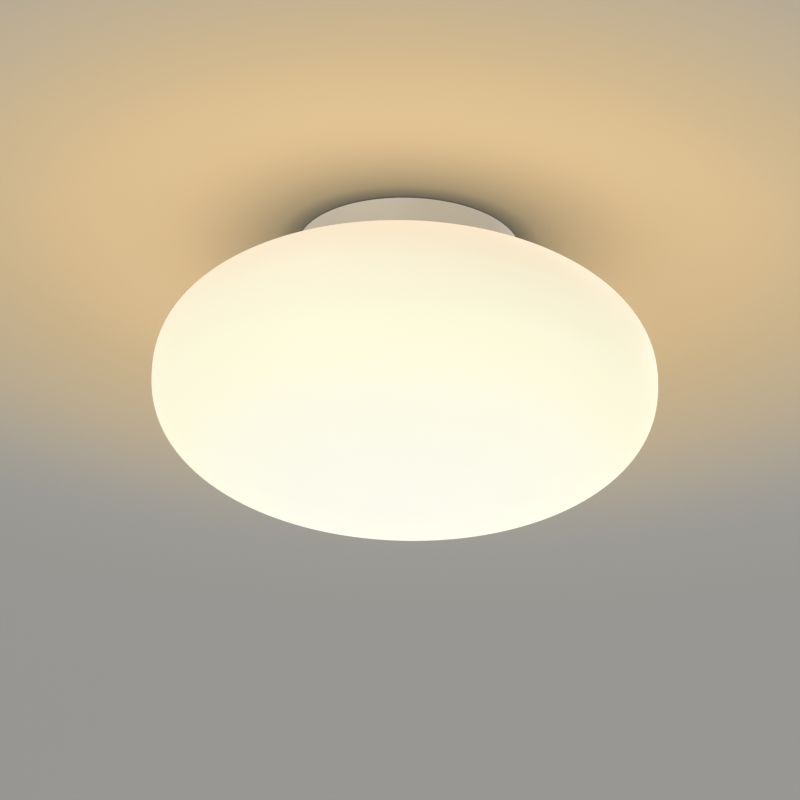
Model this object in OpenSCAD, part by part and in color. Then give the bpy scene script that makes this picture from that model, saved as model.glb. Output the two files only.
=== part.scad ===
// Flush ceiling light: an opal glass shade that screws up into a shallow round canopy.
// The ceiling is the plane z = 0 and everything hangs below it. All sizes are in millimetres.

/* [Glass shade] */
// Outer diameter of the glass
shade_d = 300; // [270:1:360]
// Height of the glass body without its neck
shade_h = 144; // [136:1:200]
// Exponent of the super-ellipse that rounds the glass, where 2 is an ellipse
shade_fullness = 2.3; // [2:0.05:3]
// Wall thickness of the glass
glass_t = 3.5; // [2.5:0.1:5]
// Outer diameter of the plain neck of the glass
neck_d = 82; // [76:1:88]
// Height of the neck above the shoulder of the glass
neck_h = 11.5; // [10.5:0.1:13]
// Bevel at the lip of the neck
lip_bevel = 0.8; // [0.3:0.1:1]

/* [Shade thread] */
// Pitch of the coarse thread between the neck and the gallery cup
shade_pitch = 5; // [4.5:0.1:5.5]
// Length of the thread bead on each piece, in turns
shade_turns = 1.05; // [0.6:0.05:1.1]
// Height of a thread bead above its wall
bead_h = 1.2; // [1:0.05:1.4]
// Width of a thread bead at its foot
bead_foot_w = 2.2; // [2:0.1:2.4]
// Width of a thread bead at its crest
bead_crest_w = 0.8; // [0.6:0.1:1.1]
// Radial clearance between a bead and the wall that faces it
bead_gap = 0.5; // [0.4:0.05:0.6]
// Axial play between the two beads
bead_play = 0.4; // [0.3:0.05:0.6]

/* [Canopy] */
// Outer diameter of the canopy
canopy_d = 134; // [132:1:180]
// Height of the canopy, from the ceiling to its lower face
canopy_h = 19.5; // [19:0.5:40]
// Sheet thickness of the canopy
canopy_t = 1; // [0.8:0.1:1.5]
// Outer radius of the spun corner between wall and lower face
canopy_corner_r = 3; // [2:0.5:5]
// Gap between the rim of the canopy and the ceiling
rim_gap = 0.4; // [0.2:0.1:1]
// Depth of the hem rolled in at the rim
hem_w = 1.8; // [1.6:0.1:3]
// Thickness of the neck gasket at the neck
gasket_t = 1.6; // [1.2:0.1:2.5]
// Outer diameter of the neck gasket
gasket_d = 100; // [94:1:104]

/* [Gallery cup] */
// Sheet thickness of the gallery cup
cup_t = 1; // [0.8:0.1:1.5]
// Outer diameter of the flange of the gallery cup
cup_flange_d = 103; // [102:1:105]
// Gap between the lip of the neck and the floor of the cup
cup_floor_gap = 1; // [0.6:0.1:1.5]
// Number of screws in the flange
cup_screws = 3; // [3:1:6]
// Shank diameter of the flange screws
cup_screw_d = 3; // [2.5:0.5:3]

/* [Mounting plate] */
// Diameter of the mounting plate
plate_d = 127; // [124:1:128]
// Thickness of the mounting plate
plate_t = 1.5; // [1.2:0.1:2.5]
// Distance between the centres of the two fixing slots
slot_spacing = 70; // [62:1:72]
// Length of a fixing slot from end to end
slot_l = 16; // [10:1:18]
// Width of a fixing slot
slot_w = 5; // [4:0.5:6]
// Diameter of the hole in the middle of the plate
plate_hole_d = 28; // [20:1:34]
// Distance between the two canopy posts
post_spacing = 114; // [113:1:115]
// Diameter of a canopy post
post_d = 6.8; // [6:0.2:7.2]
// Shank diameter of the canopy screws
canopy_screw_d = 4; // [3:0.5:4]
// Length of the canopy screws under the head
canopy_screw_l = 12; // [8:1:15]

/* [Wiring] */
// Distance from the axis to the cable entry
entry_r = 56; // [55:0.5:56]
// Bore of the cable grommet
grommet_bore_d = 8; // [6:0.5:9]
// Diameter of the grommet where it passes the plate
grommet_d = 12; // [11:0.5:12]
// Height of the grommet
grommet_h = 5; // [4:0.5:8]
// Distance from the axis to the middle of the terminal block
block_r = 56.5; // [56:0.5:57]
// Length of the terminal block
block_l = 26; // [24:1:27]
// Width of the terminal block
block_w = 13; // [11:0.5:13]
// Height of the terminal block
block_h = 12; // [11:0.5:14]
// Distance between the poles of the terminal block
pole_pitch = 8; // [7:0.5:8.5]
// Distance from the axis to the earth screw
earth_r = 54; // [52:0.5:56]
// Diameter of a lead over its insulation
lead_d = 2; // [1.6:0.1:2.2]

/* [Lampholder] */
// Diameter of the hollow nipple
nipple_d = 10; // [8:1:12]
// Bore of the nipple
nipple_bore_d = 7; // [5:0.5:8]
// Distance across the flats of the nipple nut
nut_flats = 14; // [13:0.5:18]
// Thickness of the nipple nut
nut_h = 2.6; // [2:0.1:2.6]
// Largest diameter of the lampholder
holder_d = 41; // [40:0.5:46]
// Height of the lampholder from the cup to its mouth
holder_h = 45.5; // [42:0.5:50]
// Height of the lampholder's cap
holder_cap_h = 16; // [15:0.5:20]
// Wall thickness of the lampholder's mouldings
holder_wall = 2.3; // [2:0.1:3]
// Thickness of the ceramic insert
insert_h = 7.5; // [6:0.5:9]

/* [Bulb] */
// Length of the bulb from its contact to its tip
bulb_l = 98; // [90:1:104]
// Largest diameter of the bulb
bulb_d = 55; // [50:1:60]
// Diameter of the bulb's thread at mid height
bulb_thread_d = 24.8; // [24:0.1:25.2]
// Pitch of the bulb's thread
bulb_pitch = 3.629; // [3.4:0.001:3.8]
// Half the depth of the bulb's rounded thread
bulb_wave = 0.55; // [0.45:0.05:0.6]
// Radial clearance between the bulb's thread and the screw shell
bulb_thread_gap = 0.5; // [0.45:0.01:0.55]
// Length of the threaded cap
bulb_cap_l = 20; // [18:0.5:22]
// Wall thickness of the opal dome
dome_t = 1.2; // [0.8:0.1:2]
// Number of light-emitting chips
chip_count = 12; // [6:1:16]

/* [Hidden] */
$fn = 96;

// Colours of the finishes
white_paint = [0.93, 0.92, 0.89];
opal_glass = [1.0, 0.97, 0.88];
zinc = [0.72, 0.74, 0.76];
steel = [0.62, 0.63, 0.65];
brass = [0.80, 0.66, 0.36];
ceramic = [0.95, 0.94, 0.90];
black_moulding = [0.10, 0.10, 0.11];
clear_moulding = [0.90, 0.91, 0.90];
white_moulding = [0.94, 0.94, 0.93];
rubber_grey = [0.35, 0.35, 0.36];
silicone = [0.88, 0.88, 0.85];

// Clearances between pieces of one assembly
snug = 0.05;
loose = 0.3;

// Heights of the main planes
plate_z = -plate_t;
canopy_floor_z = -canopy_h + canopy_t;
shoulder_z = -canopy_h - gasket_t;
lip_z = shoulder_z + neck_h;
cup_floor_z = lip_z + cup_floor_gap;
cup_top_z = cup_floor_z + cup_t;

// Radii that the glass, the gasket, the cup and the canopy share
neck_r = neck_d / 2;
cup_r = neck_r + bead_h + bead_gap;
cup_outer_r = cup_r + cup_t;
canopy_r = canopy_d / 2;
canopy_mouth_r = cup_outer_r + loose;
canopy_inner_r = canopy_r - canopy_t;

// The super-ellipse of the glass: outer and inner half width and half height
shade_r = shade_d / 2;
shade_half_h = shade_h / 2;
bore_r = shade_r - glass_t;
bore_half_h = shade_half_h - glass_t;
shade_steps = 60;
function cut_angle(r, half_w) = acos(pow(r / half_w, shade_fullness / 2));
function oval_point(a, half_w, half_h) = [
    half_w * pow(abs(cos(a)), 2 / shade_fullness),
    sign(a) * half_h * pow(abs(sin(a)), 2 / shade_fullness)
];
function oval_arc(top_a, half_w, half_h) = [
    for (i = [0:shade_steps]) oval_point(-90 + i / shade_steps * (90 + top_a), half_w, half_h)
];
function shade_height_at(r) = oval_point(cut_angle(r, shade_r), shade_r, shade_half_h)[1];
equator_z = shoulder_z - shade_height_at(neck_r);

// The two thread beads, the one of the glass resting on the one of the cup. Each fades out over
// bead_fade steps, and its root goes bead_root deep into its wall.
bead_steps = 36;
bead_fade = 3;
bead_root = 0.6;
bead_reach = (bead_foot_w - bead_crest_w) * (1 + bead_gap / bead_h) / 2;
bead_lift = bead_foot_w - bead_reach + bead_play;
cup_bead_z = -canopy_h + bead_foot_w / 2 + bead_crest_w / 4;
glass_bead_z = cup_bead_z + bead_lift;

// Screws of the cup's flange, beside its wall. Ears hold them where the flange is narrow, and
// notches clear the canopy posts where it is wide.
pan_head_ratio = 1.8;
head_room = 1.6;
cup_screw_r = cup_outer_r + pan_head_ratio * cup_screw_d / 2 + head_room;
ear_r = cup_screw_d / 2 + 1.9;
post_notch_r = post_d / 2 + 1.5;
post_stake_r = post_d / 3;

// Rolled rim of the canopy
rim_r = 0.6;
hem_lift = 0.8;
hem_t = 0.4;

// Terminal block, in its own frame: x points away from the axis and y along the block
block_a = 135;
pole_count = 3;
pole_z = plate_z - 5;
block_groove_w = 1.2;
block_groove_h = 4;
block_top_wall = 4;
sleeve_r = 2.4;
sleeve_bore_r = 1.6;
sleeve_l = block_w - 2;
block_screw_r = 1.5;
block_screw_l = 5;
block_screw_z = pole_z - sleeve_bore_r - 0.1 - block_screw_l;
screw_slot_w = 0.5;
block_screw_x = block_w / 4;
earth_a = 45;
earth_pos = [earth_r * cos(earth_a), earth_r * sin(earth_a)];
earth_tag_t = 0.8;
tag_ring_r = canopy_screw_d + 0.4;
tag_reach = 8;
barrel_r = lead_d / 2 + 0.9;
barrel_l = 3.6;
barrel_z = plate_z - barrel_r - 0.2;

// Lampholder
nipple_r = nipple_d / 2 - snug;
washer_t = 0.6;
nipple_top_z = cup_top_z + washer_t + nut_h + 0.7;
nipple_l = nipple_top_z - cup_floor_z + 6;
holder_r = holder_d / 2;
holder_mouth_z = cup_floor_z - holder_h;
cap_edge_z = cup_floor_z - holder_cap_h;
sleeve_top_z = cap_edge_z + 5;
joint_r = holder_r - holder_wall;
seat_r = joint_r - 2;
insert_r = seat_r - 0.2;
insert_top_z = cap_edge_z + 3.5;
insert_z = insert_top_z - insert_h;
shell_t = 0.6;
ledge_z = insert_z - shell_t;
shell_outer_r = bulb_thread_d / 2 + bulb_thread_gap + bulb_wave + 0.55;
sleeve_inner_r = shell_outer_r + 1;
shell_end_z = holder_mouth_z + 0.5;
shell_hole_r = 8;
contact_drop = 2.5;
contact_t = 0.5;
contact_w = 6;
terminal_x = 9.5;
cap_dome_r = 8;
cap_roof_t = 7;
cap_lip_t = 2;
mouth_bevel = 1;
grip_l = 5;

// Fineness of the bulb's thread, and the share of a radius that its flats keep
thread_sides = 24;
thread_slices = 8;
flat_share = cos(180 / thread_sides);

// Bulb, in heights below its contact
bulb_z = insert_z - contact_drop - loose;
eyelet_r = 4.6;
eyelet_h = 1.4;
rivet_r = 1.4;
plug_l = 3;
thread_start = 6;
thread_end = shell_end_z - loose - bulb_z;
cap_bore_r = bulb_thread_d / 2 - bulb_wave - 0.35;
cap_end = -thread_start - bulb_cap_l;
stem_r = cap_bore_r * flat_share - snug;
housing_r = bulb_d / 2 - 1;
housing_end = -52;
housing_wall = 1.6;
stem_l = 9;
collar_w = 2.2;
collar_l = 5;
skirt_l = 8;
board_t = 1.5;
board_z = housing_end + 0.5;
board_r = housing_r - housing_wall - 1;
dome_r = bulb_d / 2;
dome_mid = -63;
chip_size = 3;
chip_t = 0.7;
chip_ring_r = 14;
function dome_point(t, inset) = [
    (dome_r - inset) * cos(t),
    dome_mid - (bulb_l + dome_mid - inset) * sin(t)
];

// Driver circuit of the bulb, with heights above its lower edge
driver_side_gap = 3.4;
driver_reach = 8;
driver_t = 1.2;
capacitor_r = 4;
capacitor_l = 6;
capacitor_z = 6;
choke_w = 7;
choke_t = 5;
choke_h = 8;
choke_z = 4;
rectifier_w = 5;
rectifier_t = 2;
rectifier_h = 3;
rectifier_z = 15;

// Routes of the leads, from the terminal block through the nipple to the lampholder
lead_sides = 8;
lead_steps = 4;
nipple_lane = 1.3;
block_u = [cos(block_a), sin(block_a), 0];
block_v = [-sin(block_a), cos(block_a), 0];
function block_point(u, v, z) = u * block_u + v * block_v + [0, 0, z];
block_face_r = block_r - block_w / 2;
terminal_end_z = insert_top_z + lead_d / 2 + 0.2;
function supply_route(side, pole_v) = [
    block_point(block_face_r + 3, pole_v, pole_z),
    block_point(block_face_r - 1, pole_v, pole_z),
    block_point(40, pole_v * 0.9, cup_top_z + 2.2),
    block_point(26, pole_v * 0.7, cup_top_z + 2.8),
    block_point(13, pole_v * 0.4, nipple_top_z + 0.9),
    [side * nipple_lane - 2.2, 2.4 + side * 0.6, nipple_top_z + 1.5],
    [side * nipple_lane, 0.2, nipple_top_z - 0.6],
    [side * nipple_lane, 0, nipple_top_z - 4],
    [side * nipple_lane, 0, cup_floor_z - 5.4],
    [side * 2.6, 0, cup_floor_z - 7.4],
    [side * 4.6, 0, terminal_end_z + 0.3],
    [side * (terminal_x - 2.9), 0, terminal_end_z]
];
earth_route = [
    block_point(block_face_r + 3, -pole_pitch, pole_z),
    block_point(block_face_r - 1, -pole_pitch, pole_z),
    block_point(45.5, -pole_pitch - 3, pole_z + 0.6),
    [-16, 43, -5],
    [0, 46, -5],
    [15, 45, -5],
    [21, earth_pos[1] + 1.5, -4],
    [earth_pos[0] - tag_reach - 3, earth_pos[1], barrel_z],
    [earth_pos[0] - tag_reach - 0.5, earth_pos[1], barrel_z],
    [earth_pos[0] - tag_reach + 2.5, earth_pos[1], barrel_z]
];

// Points on an arc about a centre, from one angle to another
function arc(centre, r, from, to, steps = 8) = [
    for (i = [0:steps])
        let (a = from + i / steps * (to - from))
        centre + r * [cos(a), sin(a)]
];

// A solid of revolution from points given as radius and height
module turned(points) {
    rotate_extrude() polygon(points);
}

// A tube between two heights
module tube(outer_r, inner_r, low, high) {
    turned([[inner_r, low], [outer_r, low], [outer_r, high], [inner_r, high]]);
}

// Puts copies on the two ends of a line along x
module at_ends(spacing) {
    for (side = [-1, 1]) translate([side * spacing / 2, 0, 0]) children();
}

// Puts copies evenly around the axis
module around(count, r, first = 0) {
    for (i = [0:count - 1]) rotate(first + i * 360 / count) translate([r, 0, 0]) children();
}

// A pan head screw, with the face under its head at z = 0 and its shank upwards
module pan_screw(shank_r, shank_l) {
    head_r = shank_r * pan_head_ratio;
    head_h = shank_r * 1.1;
    recess_w = shank_r * 0.35;
    difference() {
        turned([
            [0, -head_h], [head_r * 0.7, -head_h], [head_r, -head_h * 0.55], [head_r, 0],
            [shank_r, 0], [shank_r, shank_l - shank_r * 0.3], [shank_r * 0.7, shank_l], [0, shank_l]
        ]);
        for (turn = [0, 90])
            rotate(turn) translate([-head_r * 0.5, -recess_w / 2, -head_h - 1])
                cube([head_r, recess_w, 1 + head_h * 0.6]);
    }
}

// A polyhedron through a list of closed rings of points, with a flat end at each side
module skin(rings) {
    count = len(rings);
    sides = len(rings[0]);
    sides_faces = [
        for (i = [0:count - 2], j = [0:sides - 1])
            for (face = [
                [i * sides + j, i * sides + (j + 1) % sides, (i + 1) * sides + j],
                [i * sides + (j + 1) % sides, (i + 1) * sides + (j + 1) % sides, (i + 1) * sides + j]
            ]) face
    ];
    start_face = [for (j = [sides - 1:-1:0]) j];
    end_face = [for (j = [0:sides - 1]) (count - 1) * sides + j];
    polyhedron([for (ring = rings, p = ring) p], concat(sides_faces, [start_face, end_face]));
}

// A polyhedron through rings that close on themselves around the axis
module closed_skin(rings) {
    count = len(rings);
    sides = len(rings[0]);
    polyhedron(
        [for (ring = rings, p = ring) p],
        [
            for (i = [0:count - 1], j = [0:sides - 1])
                for (face = [
                    [i * sides + j, ((i + 1) % count) * sides + j, i * sides + (j + 1) % sides],
                    [
                        i * sides + (j + 1) % sides,
                        ((i + 1) % count) * sides + j,
                        ((i + 1) % count) * sides + (j + 1) % sides
                    ]
                ]) face
        ]
    );
}

// A right-hand helical bead on a wall of radius root_r, standing out by height, which is
// negative where it stands inwards. It runs into the wall at both ends.
module helical_bead(root_r, height, start_z) {
    sink = sign(height) * bead_root;
    count = round(shade_turns * bead_steps);
    half_foot = bead_foot_w / 2;
    half_crest = bead_crest_w / 2;
    skin([
        for (i = [0:count])
            let (
                a = i * 360 / bead_steps,
                z = start_z + i * shade_pitch / bead_steps,
                rise = min(1, i / bead_fade, (count - i) / bead_fade),
                crest_r = root_r + height * rise,
                loop = [
                    [root_r - sink, -half_foot], [root_r - sink, half_foot],
                    [crest_r, half_crest], [crest_r, -half_crest]
                ],
                ordered = height > 0 ? [for (k = [3:-1:0]) loop[k]] : loop
            )
            [for (p = ordered) [p[0] * cos(a), p[0] * sin(a), z + p[1]]]
    ]);
}

// Radius of the bulb's thread wave at a height and an angle, for a mean radius
function wave_r(mean_r, z, a) = mean_r + bulb_wave * cos(360 * z / bulb_pitch - a);

// Heights of the slices of a thread between two heights
function slices(low, high) =
    let (count = ceil((high - low) / bulb_pitch * thread_slices))
    [for (i = [0:count]) low + i / count * (high - low)];

// A point on a smooth curve through four points
function spline(a, b, c, d, t) =
    0.5 * (2 * b + (c - a) * t + (2 * a - 5 * b + 4 * c - d) * t * t + (3 * b - a - 3 * c + d) * t * t * t);

// A smooth curve through hand-placed points
function smooth_route(points) =
    let (last = len(points) - 1)
    concat(
        [
            for (i = [0:last - 1], k = [0:lead_steps - 1])
                spline(
                    points[max(i - 1, 0)], points[i], points[i + 1], points[min(i + 2, last)], k / lead_steps
                )
        ],
        [points[last]]
    );
function unit(v) = v / norm(v);

// A round lead along a route, its rings squared to a direction that the route never takes
module lead(points, across) {
    route = smooth_route(points);
    last = len(route) - 1;
    skin([
        for (i = [0:last])
            let (
                ahead = unit(route[min(i + 1, last)] - route[max(i - 1, 0)]),
                side = unit(cross(across, ahead)),
                up = cross(ahead, side)
            )
            [
                for (j = [0:lead_sides - 1])
                    let (a = j * 360 / lead_sides)
                    route[i] + lead_d / 2 * (cos(a) * side + sin(a) * up)
            ]
    ]);
}

// A slot with round ends along x, as a flat shape
module slot_shape(length, width) {
    square([length - width, width], center = true);
    for (side = [-1, 1]) translate([side * (length - width) / 2, 0]) circle(d = width);
}

// Round steel plate that is screwed to the ceiling
module mounting_plate() color(zinc) translate([0, 0, plate_z]) linear_extrude(plate_t) difference() {
    circle(d = plate_d);
    circle(d = plate_hole_d);
    at_ends(slot_spacing) slot_shape(slot_l, slot_w);
    translate([0, entry_r]) circle(d = grommet_d + 2 * snug);
    at_ends(post_spacing) circle(r = post_stake_r + snug);
    translate(earth_pos) circle(r = canopy_screw_d / 2 + snug);
}

// Rubber bush that lines the cable entry
module cable_grommet() color(rubber_grey) translate([0, entry_r, 0]) turned([
    [grommet_bore_d / 2, -grommet_h], [grommet_bore_d / 2 + 1, -grommet_h],
    [grommet_d / 2 + 1.5, plate_z - 2], [grommet_d / 2 + 1.5, plate_z],
    [grommet_d / 2, plate_z], [grommet_d / 2, 0], [grommet_bore_d / 2, 0]
]);

// Two tapped posts that are staked into the mounting plate and carry the canopy
module canopy_posts() color(steel) at_ends(post_spacing) difference() {
    union() {
        translate([0, 0, canopy_floor_z]) cylinder(d = post_d, h = plate_z - canopy_floor_z);
        translate([0, 0, plate_z]) cylinder(r = post_stake_r, h = plate_t - snug);
    }
    translate([0, 0, canopy_floor_z - 1])
        cylinder(r = canopy_screw_d / 2 + snug, h = canopy_screw_l - canopy_t + 2);
}

// Puts children in the frame of the terminal block
module at_block() {
    rotate(block_a) translate([block_r, 0, 0]) children();
}

// Puts copies at the poles of the terminal block
module at_poles() {
    for (i = [0:pole_count - 1]) translate([0, (i - (pole_count - 1) / 2) * pole_pitch, 0]) children();
}

// Moulded body of the three-pole terminal block
module terminal_block() color(clear_moulding) at_block() difference() {
    translate([-block_w / 2, -block_l / 2, plate_z - block_h]) cube([block_w, block_l, block_h]);
    at_poles() {
        translate([-block_w, 0, pole_z]) rotate([0, 90, 0]) cylinder(r = sleeve_r + snug, h = 2 * block_w);
        at_ends(2 * block_screw_x)
            translate([0, 0, plate_z - block_h - 1])
                cylinder(r = block_screw_r + 0.4, h = block_h + 1 - block_top_wall);
    }
    for (gap = [-0.5, 0.5])
        translate([-block_w, gap * pole_pitch - block_groove_w / 2, plate_z - block_h - 1])
            cube([2 * block_w, block_groove_w, block_groove_h + 1]);
}

// Brass sleeves inside the terminal block
module terminal_sleeves() color(brass) at_block() at_poles() difference() {
    translate([-sleeve_l / 2, 0, pole_z]) rotate([0, 90, 0]) cylinder(r = sleeve_r, h = sleeve_l);
    translate([-sleeve_l, 0, pole_z]) rotate([0, 90, 0]) cylinder(r = sleeve_bore_r, h = 2 * sleeve_l);
    at_ends(2 * block_screw_x)
        translate([0, 0, pole_z - 2 * sleeve_r]) cylinder(r = block_screw_r + snug, h = 2 * sleeve_r);
}

// Grub screws that clamp the wires in the sleeves
module terminal_screws() color(zinc) at_block() at_poles() at_ends(2 * block_screw_x) difference() {
    translate([0, 0, block_screw_z]) cylinder(r = block_screw_r, h = block_screw_l);
    translate([-block_screw_r - 1, -screw_slot_w / 2, block_screw_z - 1])
        cube([2 * block_screw_r + 2, screw_slot_w, 1.8]);
}

// Screw of the protective earth
module earth_screw() color(brass) translate([earth_pos[0], earth_pos[1], plate_z - earth_tag_t])
    pan_screw(canopy_screw_d / 2, plate_t + earth_tag_t - snug);

// Ring terminal under the earth screw, with the barrel that grips the earth lead
module earth_tag() color(zinc) translate([earth_pos[0], earth_pos[1], 0]) difference() {
    union() {
        translate([0, 0, plate_z - earth_tag_t]) cylinder(r = tag_ring_r, h = earth_tag_t);
        translate([-tag_reach, -barrel_r, plate_z - earth_tag_t])
            cube([tag_reach - 2, 2 * barrel_r, earth_tag_t]);
        translate([-tag_reach, 0, barrel_z]) rotate([0, 90, 0]) cylinder(r = barrel_r, h = barrel_l);
    }
    translate([0, 0, plate_z - earth_tag_t - 1]) cylinder(r = canopy_screw_d / 2 + snug, h = earth_tag_t + 2);
    translate([-tag_reach - 1, 0, barrel_z])
        rotate([0, 90, 0]) cylinder(r = lead_d / 2 + 0.1, h = barrel_l + 0.4);
}

// Spun steel canopy, open towards the ceiling
module canopy() color(white_paint) {
    hem_r = canopy_r - hem_w;
    corner = [canopy_r - canopy_corner_r, -canopy_h + canopy_corner_r];
    difference() {
        turned(concat(
            [[hem_r, -rim_gap]],
            arc([canopy_r - rim_r, -rim_gap - rim_r], rim_r, 90, 0, 4),
            arc(corner, canopy_corner_r, 0, -90),
            [[canopy_mouth_r, -canopy_h], [canopy_mouth_r, canopy_floor_z]],
            arc(corner, canopy_corner_r - canopy_t, -90, 0),
            [[canopy_inner_r, -rim_gap - hem_lift - 2 * hem_t], [hem_r, -rim_gap - hem_lift - hem_t]]
        ));
        at_ends(post_spacing) translate([0, 0, -canopy_h - 1]) cylinder(r = canopy_screw_d / 2 + 0.2, h = 4);
        around(cup_screws, cup_screw_r, 90)
            translate([0, 0, -canopy_h - 1]) cylinder(r = cup_screw_d / 2 + snug, h = 4);
    }
}

// Pan head screws that hold the canopy to its posts
module canopy_screws() color(zinc) at_ends(post_spacing)
    translate([0, 0, -canopy_h]) pan_screw(canopy_screw_d / 2, canopy_screw_l);

// Pressed cup with the thread that carries the glass, and the floor that carries the lampholder
module gallery_cup() color(white_paint) {
    flange_z = canopy_floor_z + cup_t;
    difference() {
        union() {
            turned([
                [cup_r, -canopy_h], [cup_outer_r, -canopy_h], [cup_outer_r, canopy_floor_z],
                [cup_flange_d / 2, canopy_floor_z], [cup_flange_d / 2, flange_z],
                [cup_outer_r, flange_z], [cup_outer_r, cup_top_z - 0.8], [cup_outer_r - 0.8, cup_top_z],
                [nipple_d / 2 + 0.15, cup_top_z], [nipple_d / 2 + 0.15, cup_floor_z], [cup_r, cup_floor_z]
            ]);
            helical_bead(cup_r, -bead_h, cup_bead_z);
            around(cup_screws, cup_screw_r, 90)
                translate([0, 0, canopy_floor_z]) cylinder(r = ear_r, h = cup_t);
        }
        around(cup_screws, cup_screw_r, 90)
            translate([0, 0, canopy_floor_z - 1]) cylinder(r = cup_screw_d / 2 + 0.1, h = cup_t + 2);
        at_ends(post_spacing)
            translate([0, 0, canopy_floor_z - 1]) cylinder(r = post_notch_r, h = cup_t + 2);
    }
}

// Screws that hold the flange of the cup down on the canopy
module gallery_screws() color(zinc) around(cup_screws, cup_screw_r, 90)
    translate([0, 0, canopy_floor_z + cup_t])
        mirror([0, 0, 1]) pan_screw(cup_screw_d / 2, cup_t + canopy_t - snug);

// Hollow nipple that joins the cup and the lampholder and lets the leads through
module nipple() color(zinc)
    tube(nipple_r, nipple_bore_d / 2, nipple_top_z - nipple_l, nipple_top_z);

// Toothed washer under the nipple nut
module lock_washer() color(steel) translate([0, 0, cup_top_z]) linear_extrude(washer_t) difference() {
    circle(r = nut_flats / 2 + 1.4);
    circle(r = nipple_d / 2 + 0.1);
    around(16, nut_flats / 2 + 1.4) circle(r = 0.7, $fn = 16);
}

// Hexagon nut on the nipple
module nipple_nut() color(zinc) translate([0, 0, cup_top_z + washer_t]) linear_extrude(nut_h) difference() {
    circle(d = nut_flats / cos(30), $fn = 6);
    circle(d = nipple_d);
}

// Domed cap of the lampholder, screwed on the nipple
module holder_cap() color(black_moulding) turned(concat(
    [[nipple_d / 2, cup_floor_z], [holder_r - cap_dome_r, cup_floor_z]],
    arc([holder_r - cap_dome_r, cup_floor_z - cap_dome_r], cap_dome_r, 90, 0),
    [
        [holder_r, cap_edge_z + loose], [joint_r + snug, cap_edge_z + loose],
        [joint_r + snug, sleeve_top_z + snug], [insert_r - snug, sleeve_top_z + snug],
        [insert_r - snug, insert_top_z], [insert_r - cap_lip_t, insert_top_z],
        [insert_r - cap_lip_t, sleeve_top_z + 1],
        [insert_r - 5, cup_floor_z - cap_roof_t], [nipple_d / 2, cup_floor_z - cap_roof_t]
    ]
));

// Glazed ceramic disc that holds the contacts
module holder_insert() color(ceramic) difference() {
    translate([0, 0, insert_z]) cylinder(r = insert_r, h = insert_h);
    at_ends(2 * terminal_x)
        translate([0, 0, insert_z - 1]) cylinder(r = block_screw_r + snug, h = insert_h + 2);
    translate([0, 0, insert_top_z - 1.2]) cylinder(r = 4, h = 3);
}

// Brass screws of the lampholder's two terminals
module holder_screws() color(brass) at_ends(2 * terminal_x)
    translate([0, 0, insert_top_z]) mirror([0, 0, 1]) pan_screw(block_screw_r, insert_h - 1);

// Outer sleeve of the lampholder, screwed into the cap
module holder_sleeve() color(black_moulding) turned([
    [sleeve_inner_r, holder_mouth_z], [holder_r - mouth_bevel - 0.7, holder_mouth_z],
    [holder_r - mouth_bevel, holder_mouth_z + mouth_bevel],
    [holder_r, cap_edge_z - grip_l], [holder_r, cap_edge_z], [joint_r, cap_edge_z],
    [joint_r, sleeve_top_z], [seat_r, sleeve_top_z], [seat_r, ledge_z], [sleeve_inner_r, ledge_z]
]);

// Brass shell with the rounded thread that takes the bulb
module screw_shell() color(brass) {
    mean_r = bulb_thread_d / 2 + bulb_thread_gap;
    thread = slices(shell_end_z, ledge_z - 1);
    closed_skin([
        for (i = [0:thread_sides - 1])
            let (a = i * 360 / thread_sides)
            [
                for (p = concat(
                    [
                        [shell_hole_r, ledge_z + shell_t], [insert_r, ledge_z + shell_t], [insert_r, ledge_z],
                        [shell_outer_r, ledge_z], [shell_outer_r, shell_end_z]
                    ],
                    [for (z = thread) [wave_r(mean_r, z, a), z]],
                    [[mean_r, ledge_z], [shell_hole_r, ledge_z]]
                )) [p[0] * cos(a), p[0] * sin(a), p[1]]
            ]
    ]);
}

// Bent leaf that presses on the bulb's contact
module centre_contact() color(brass) translate([0, contact_w / 2, insert_z]) rotate([90, 0, 0])
    linear_extrude(contact_w) polygon([
        [-7, 0], [-4, 0], [-2, -contact_drop + contact_t + 0.4], [0, -contact_drop + contact_t],
        [4, -contact_drop + contact_t], [4, -contact_drop], [-0.3, -contact_drop],
        [-2.5, -contact_drop + 0.5], [-4.3, -contact_t], [-7, -contact_t]
    ]);

module lead_live() color("saddlebrown") lead(supply_route(-1, pole_pitch), block_v);

module lead_neutral() color("royalblue") lead(supply_route(1, 0), block_v);

module lead_earth() color("yellowgreen") lead(earth_route, [0, 0, 1]);

// Silicone ring between the shoulder of the glass and the canopy
module shade_gasket() color(silicone) {
    inner_r = cup_r;
    outer_r = gasket_d / 2;
    top_z = -canopy_h - snug;
    turned([
        [inner_r, equator_z + shade_height_at(inner_r) + loose],
        [outer_r, equator_z + shade_height_at(outer_r) + loose],
        [outer_r, top_z], [inner_r, top_z]
    ]);
}

// Blown opal glass, flattened like a pebble, with its threaded neck
module glass_shade() color(opal_glass) {
    neck_bore_r = neck_r - glass_t;
    outer = oval_arc(cut_angle(neck_r, shade_r), shade_r, shade_half_h);
    inner = oval_arc(cut_angle(neck_bore_r, bore_r), bore_r, bore_half_h);
    lip = lip_z - equator_z;
    union() {
        translate([0, 0, equator_z]) turned(concat(
            outer,
            [
                [neck_r, lip - lip_bevel], [neck_r - lip_bevel, lip],
                [neck_bore_r + lip_bevel, lip], [neck_bore_r, lip - lip_bevel]
            ],
            [for (i = [shade_steps:-1:0]) inner[i]]
        ));
        helical_bead(neck_r, bead_h, glass_bead_z);
    }
}

// Puts children in the frame of the bulb, whose contact is at z = 0
module at_bulb() {
    translate([0, 0, bulb_z]) children();
}

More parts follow.
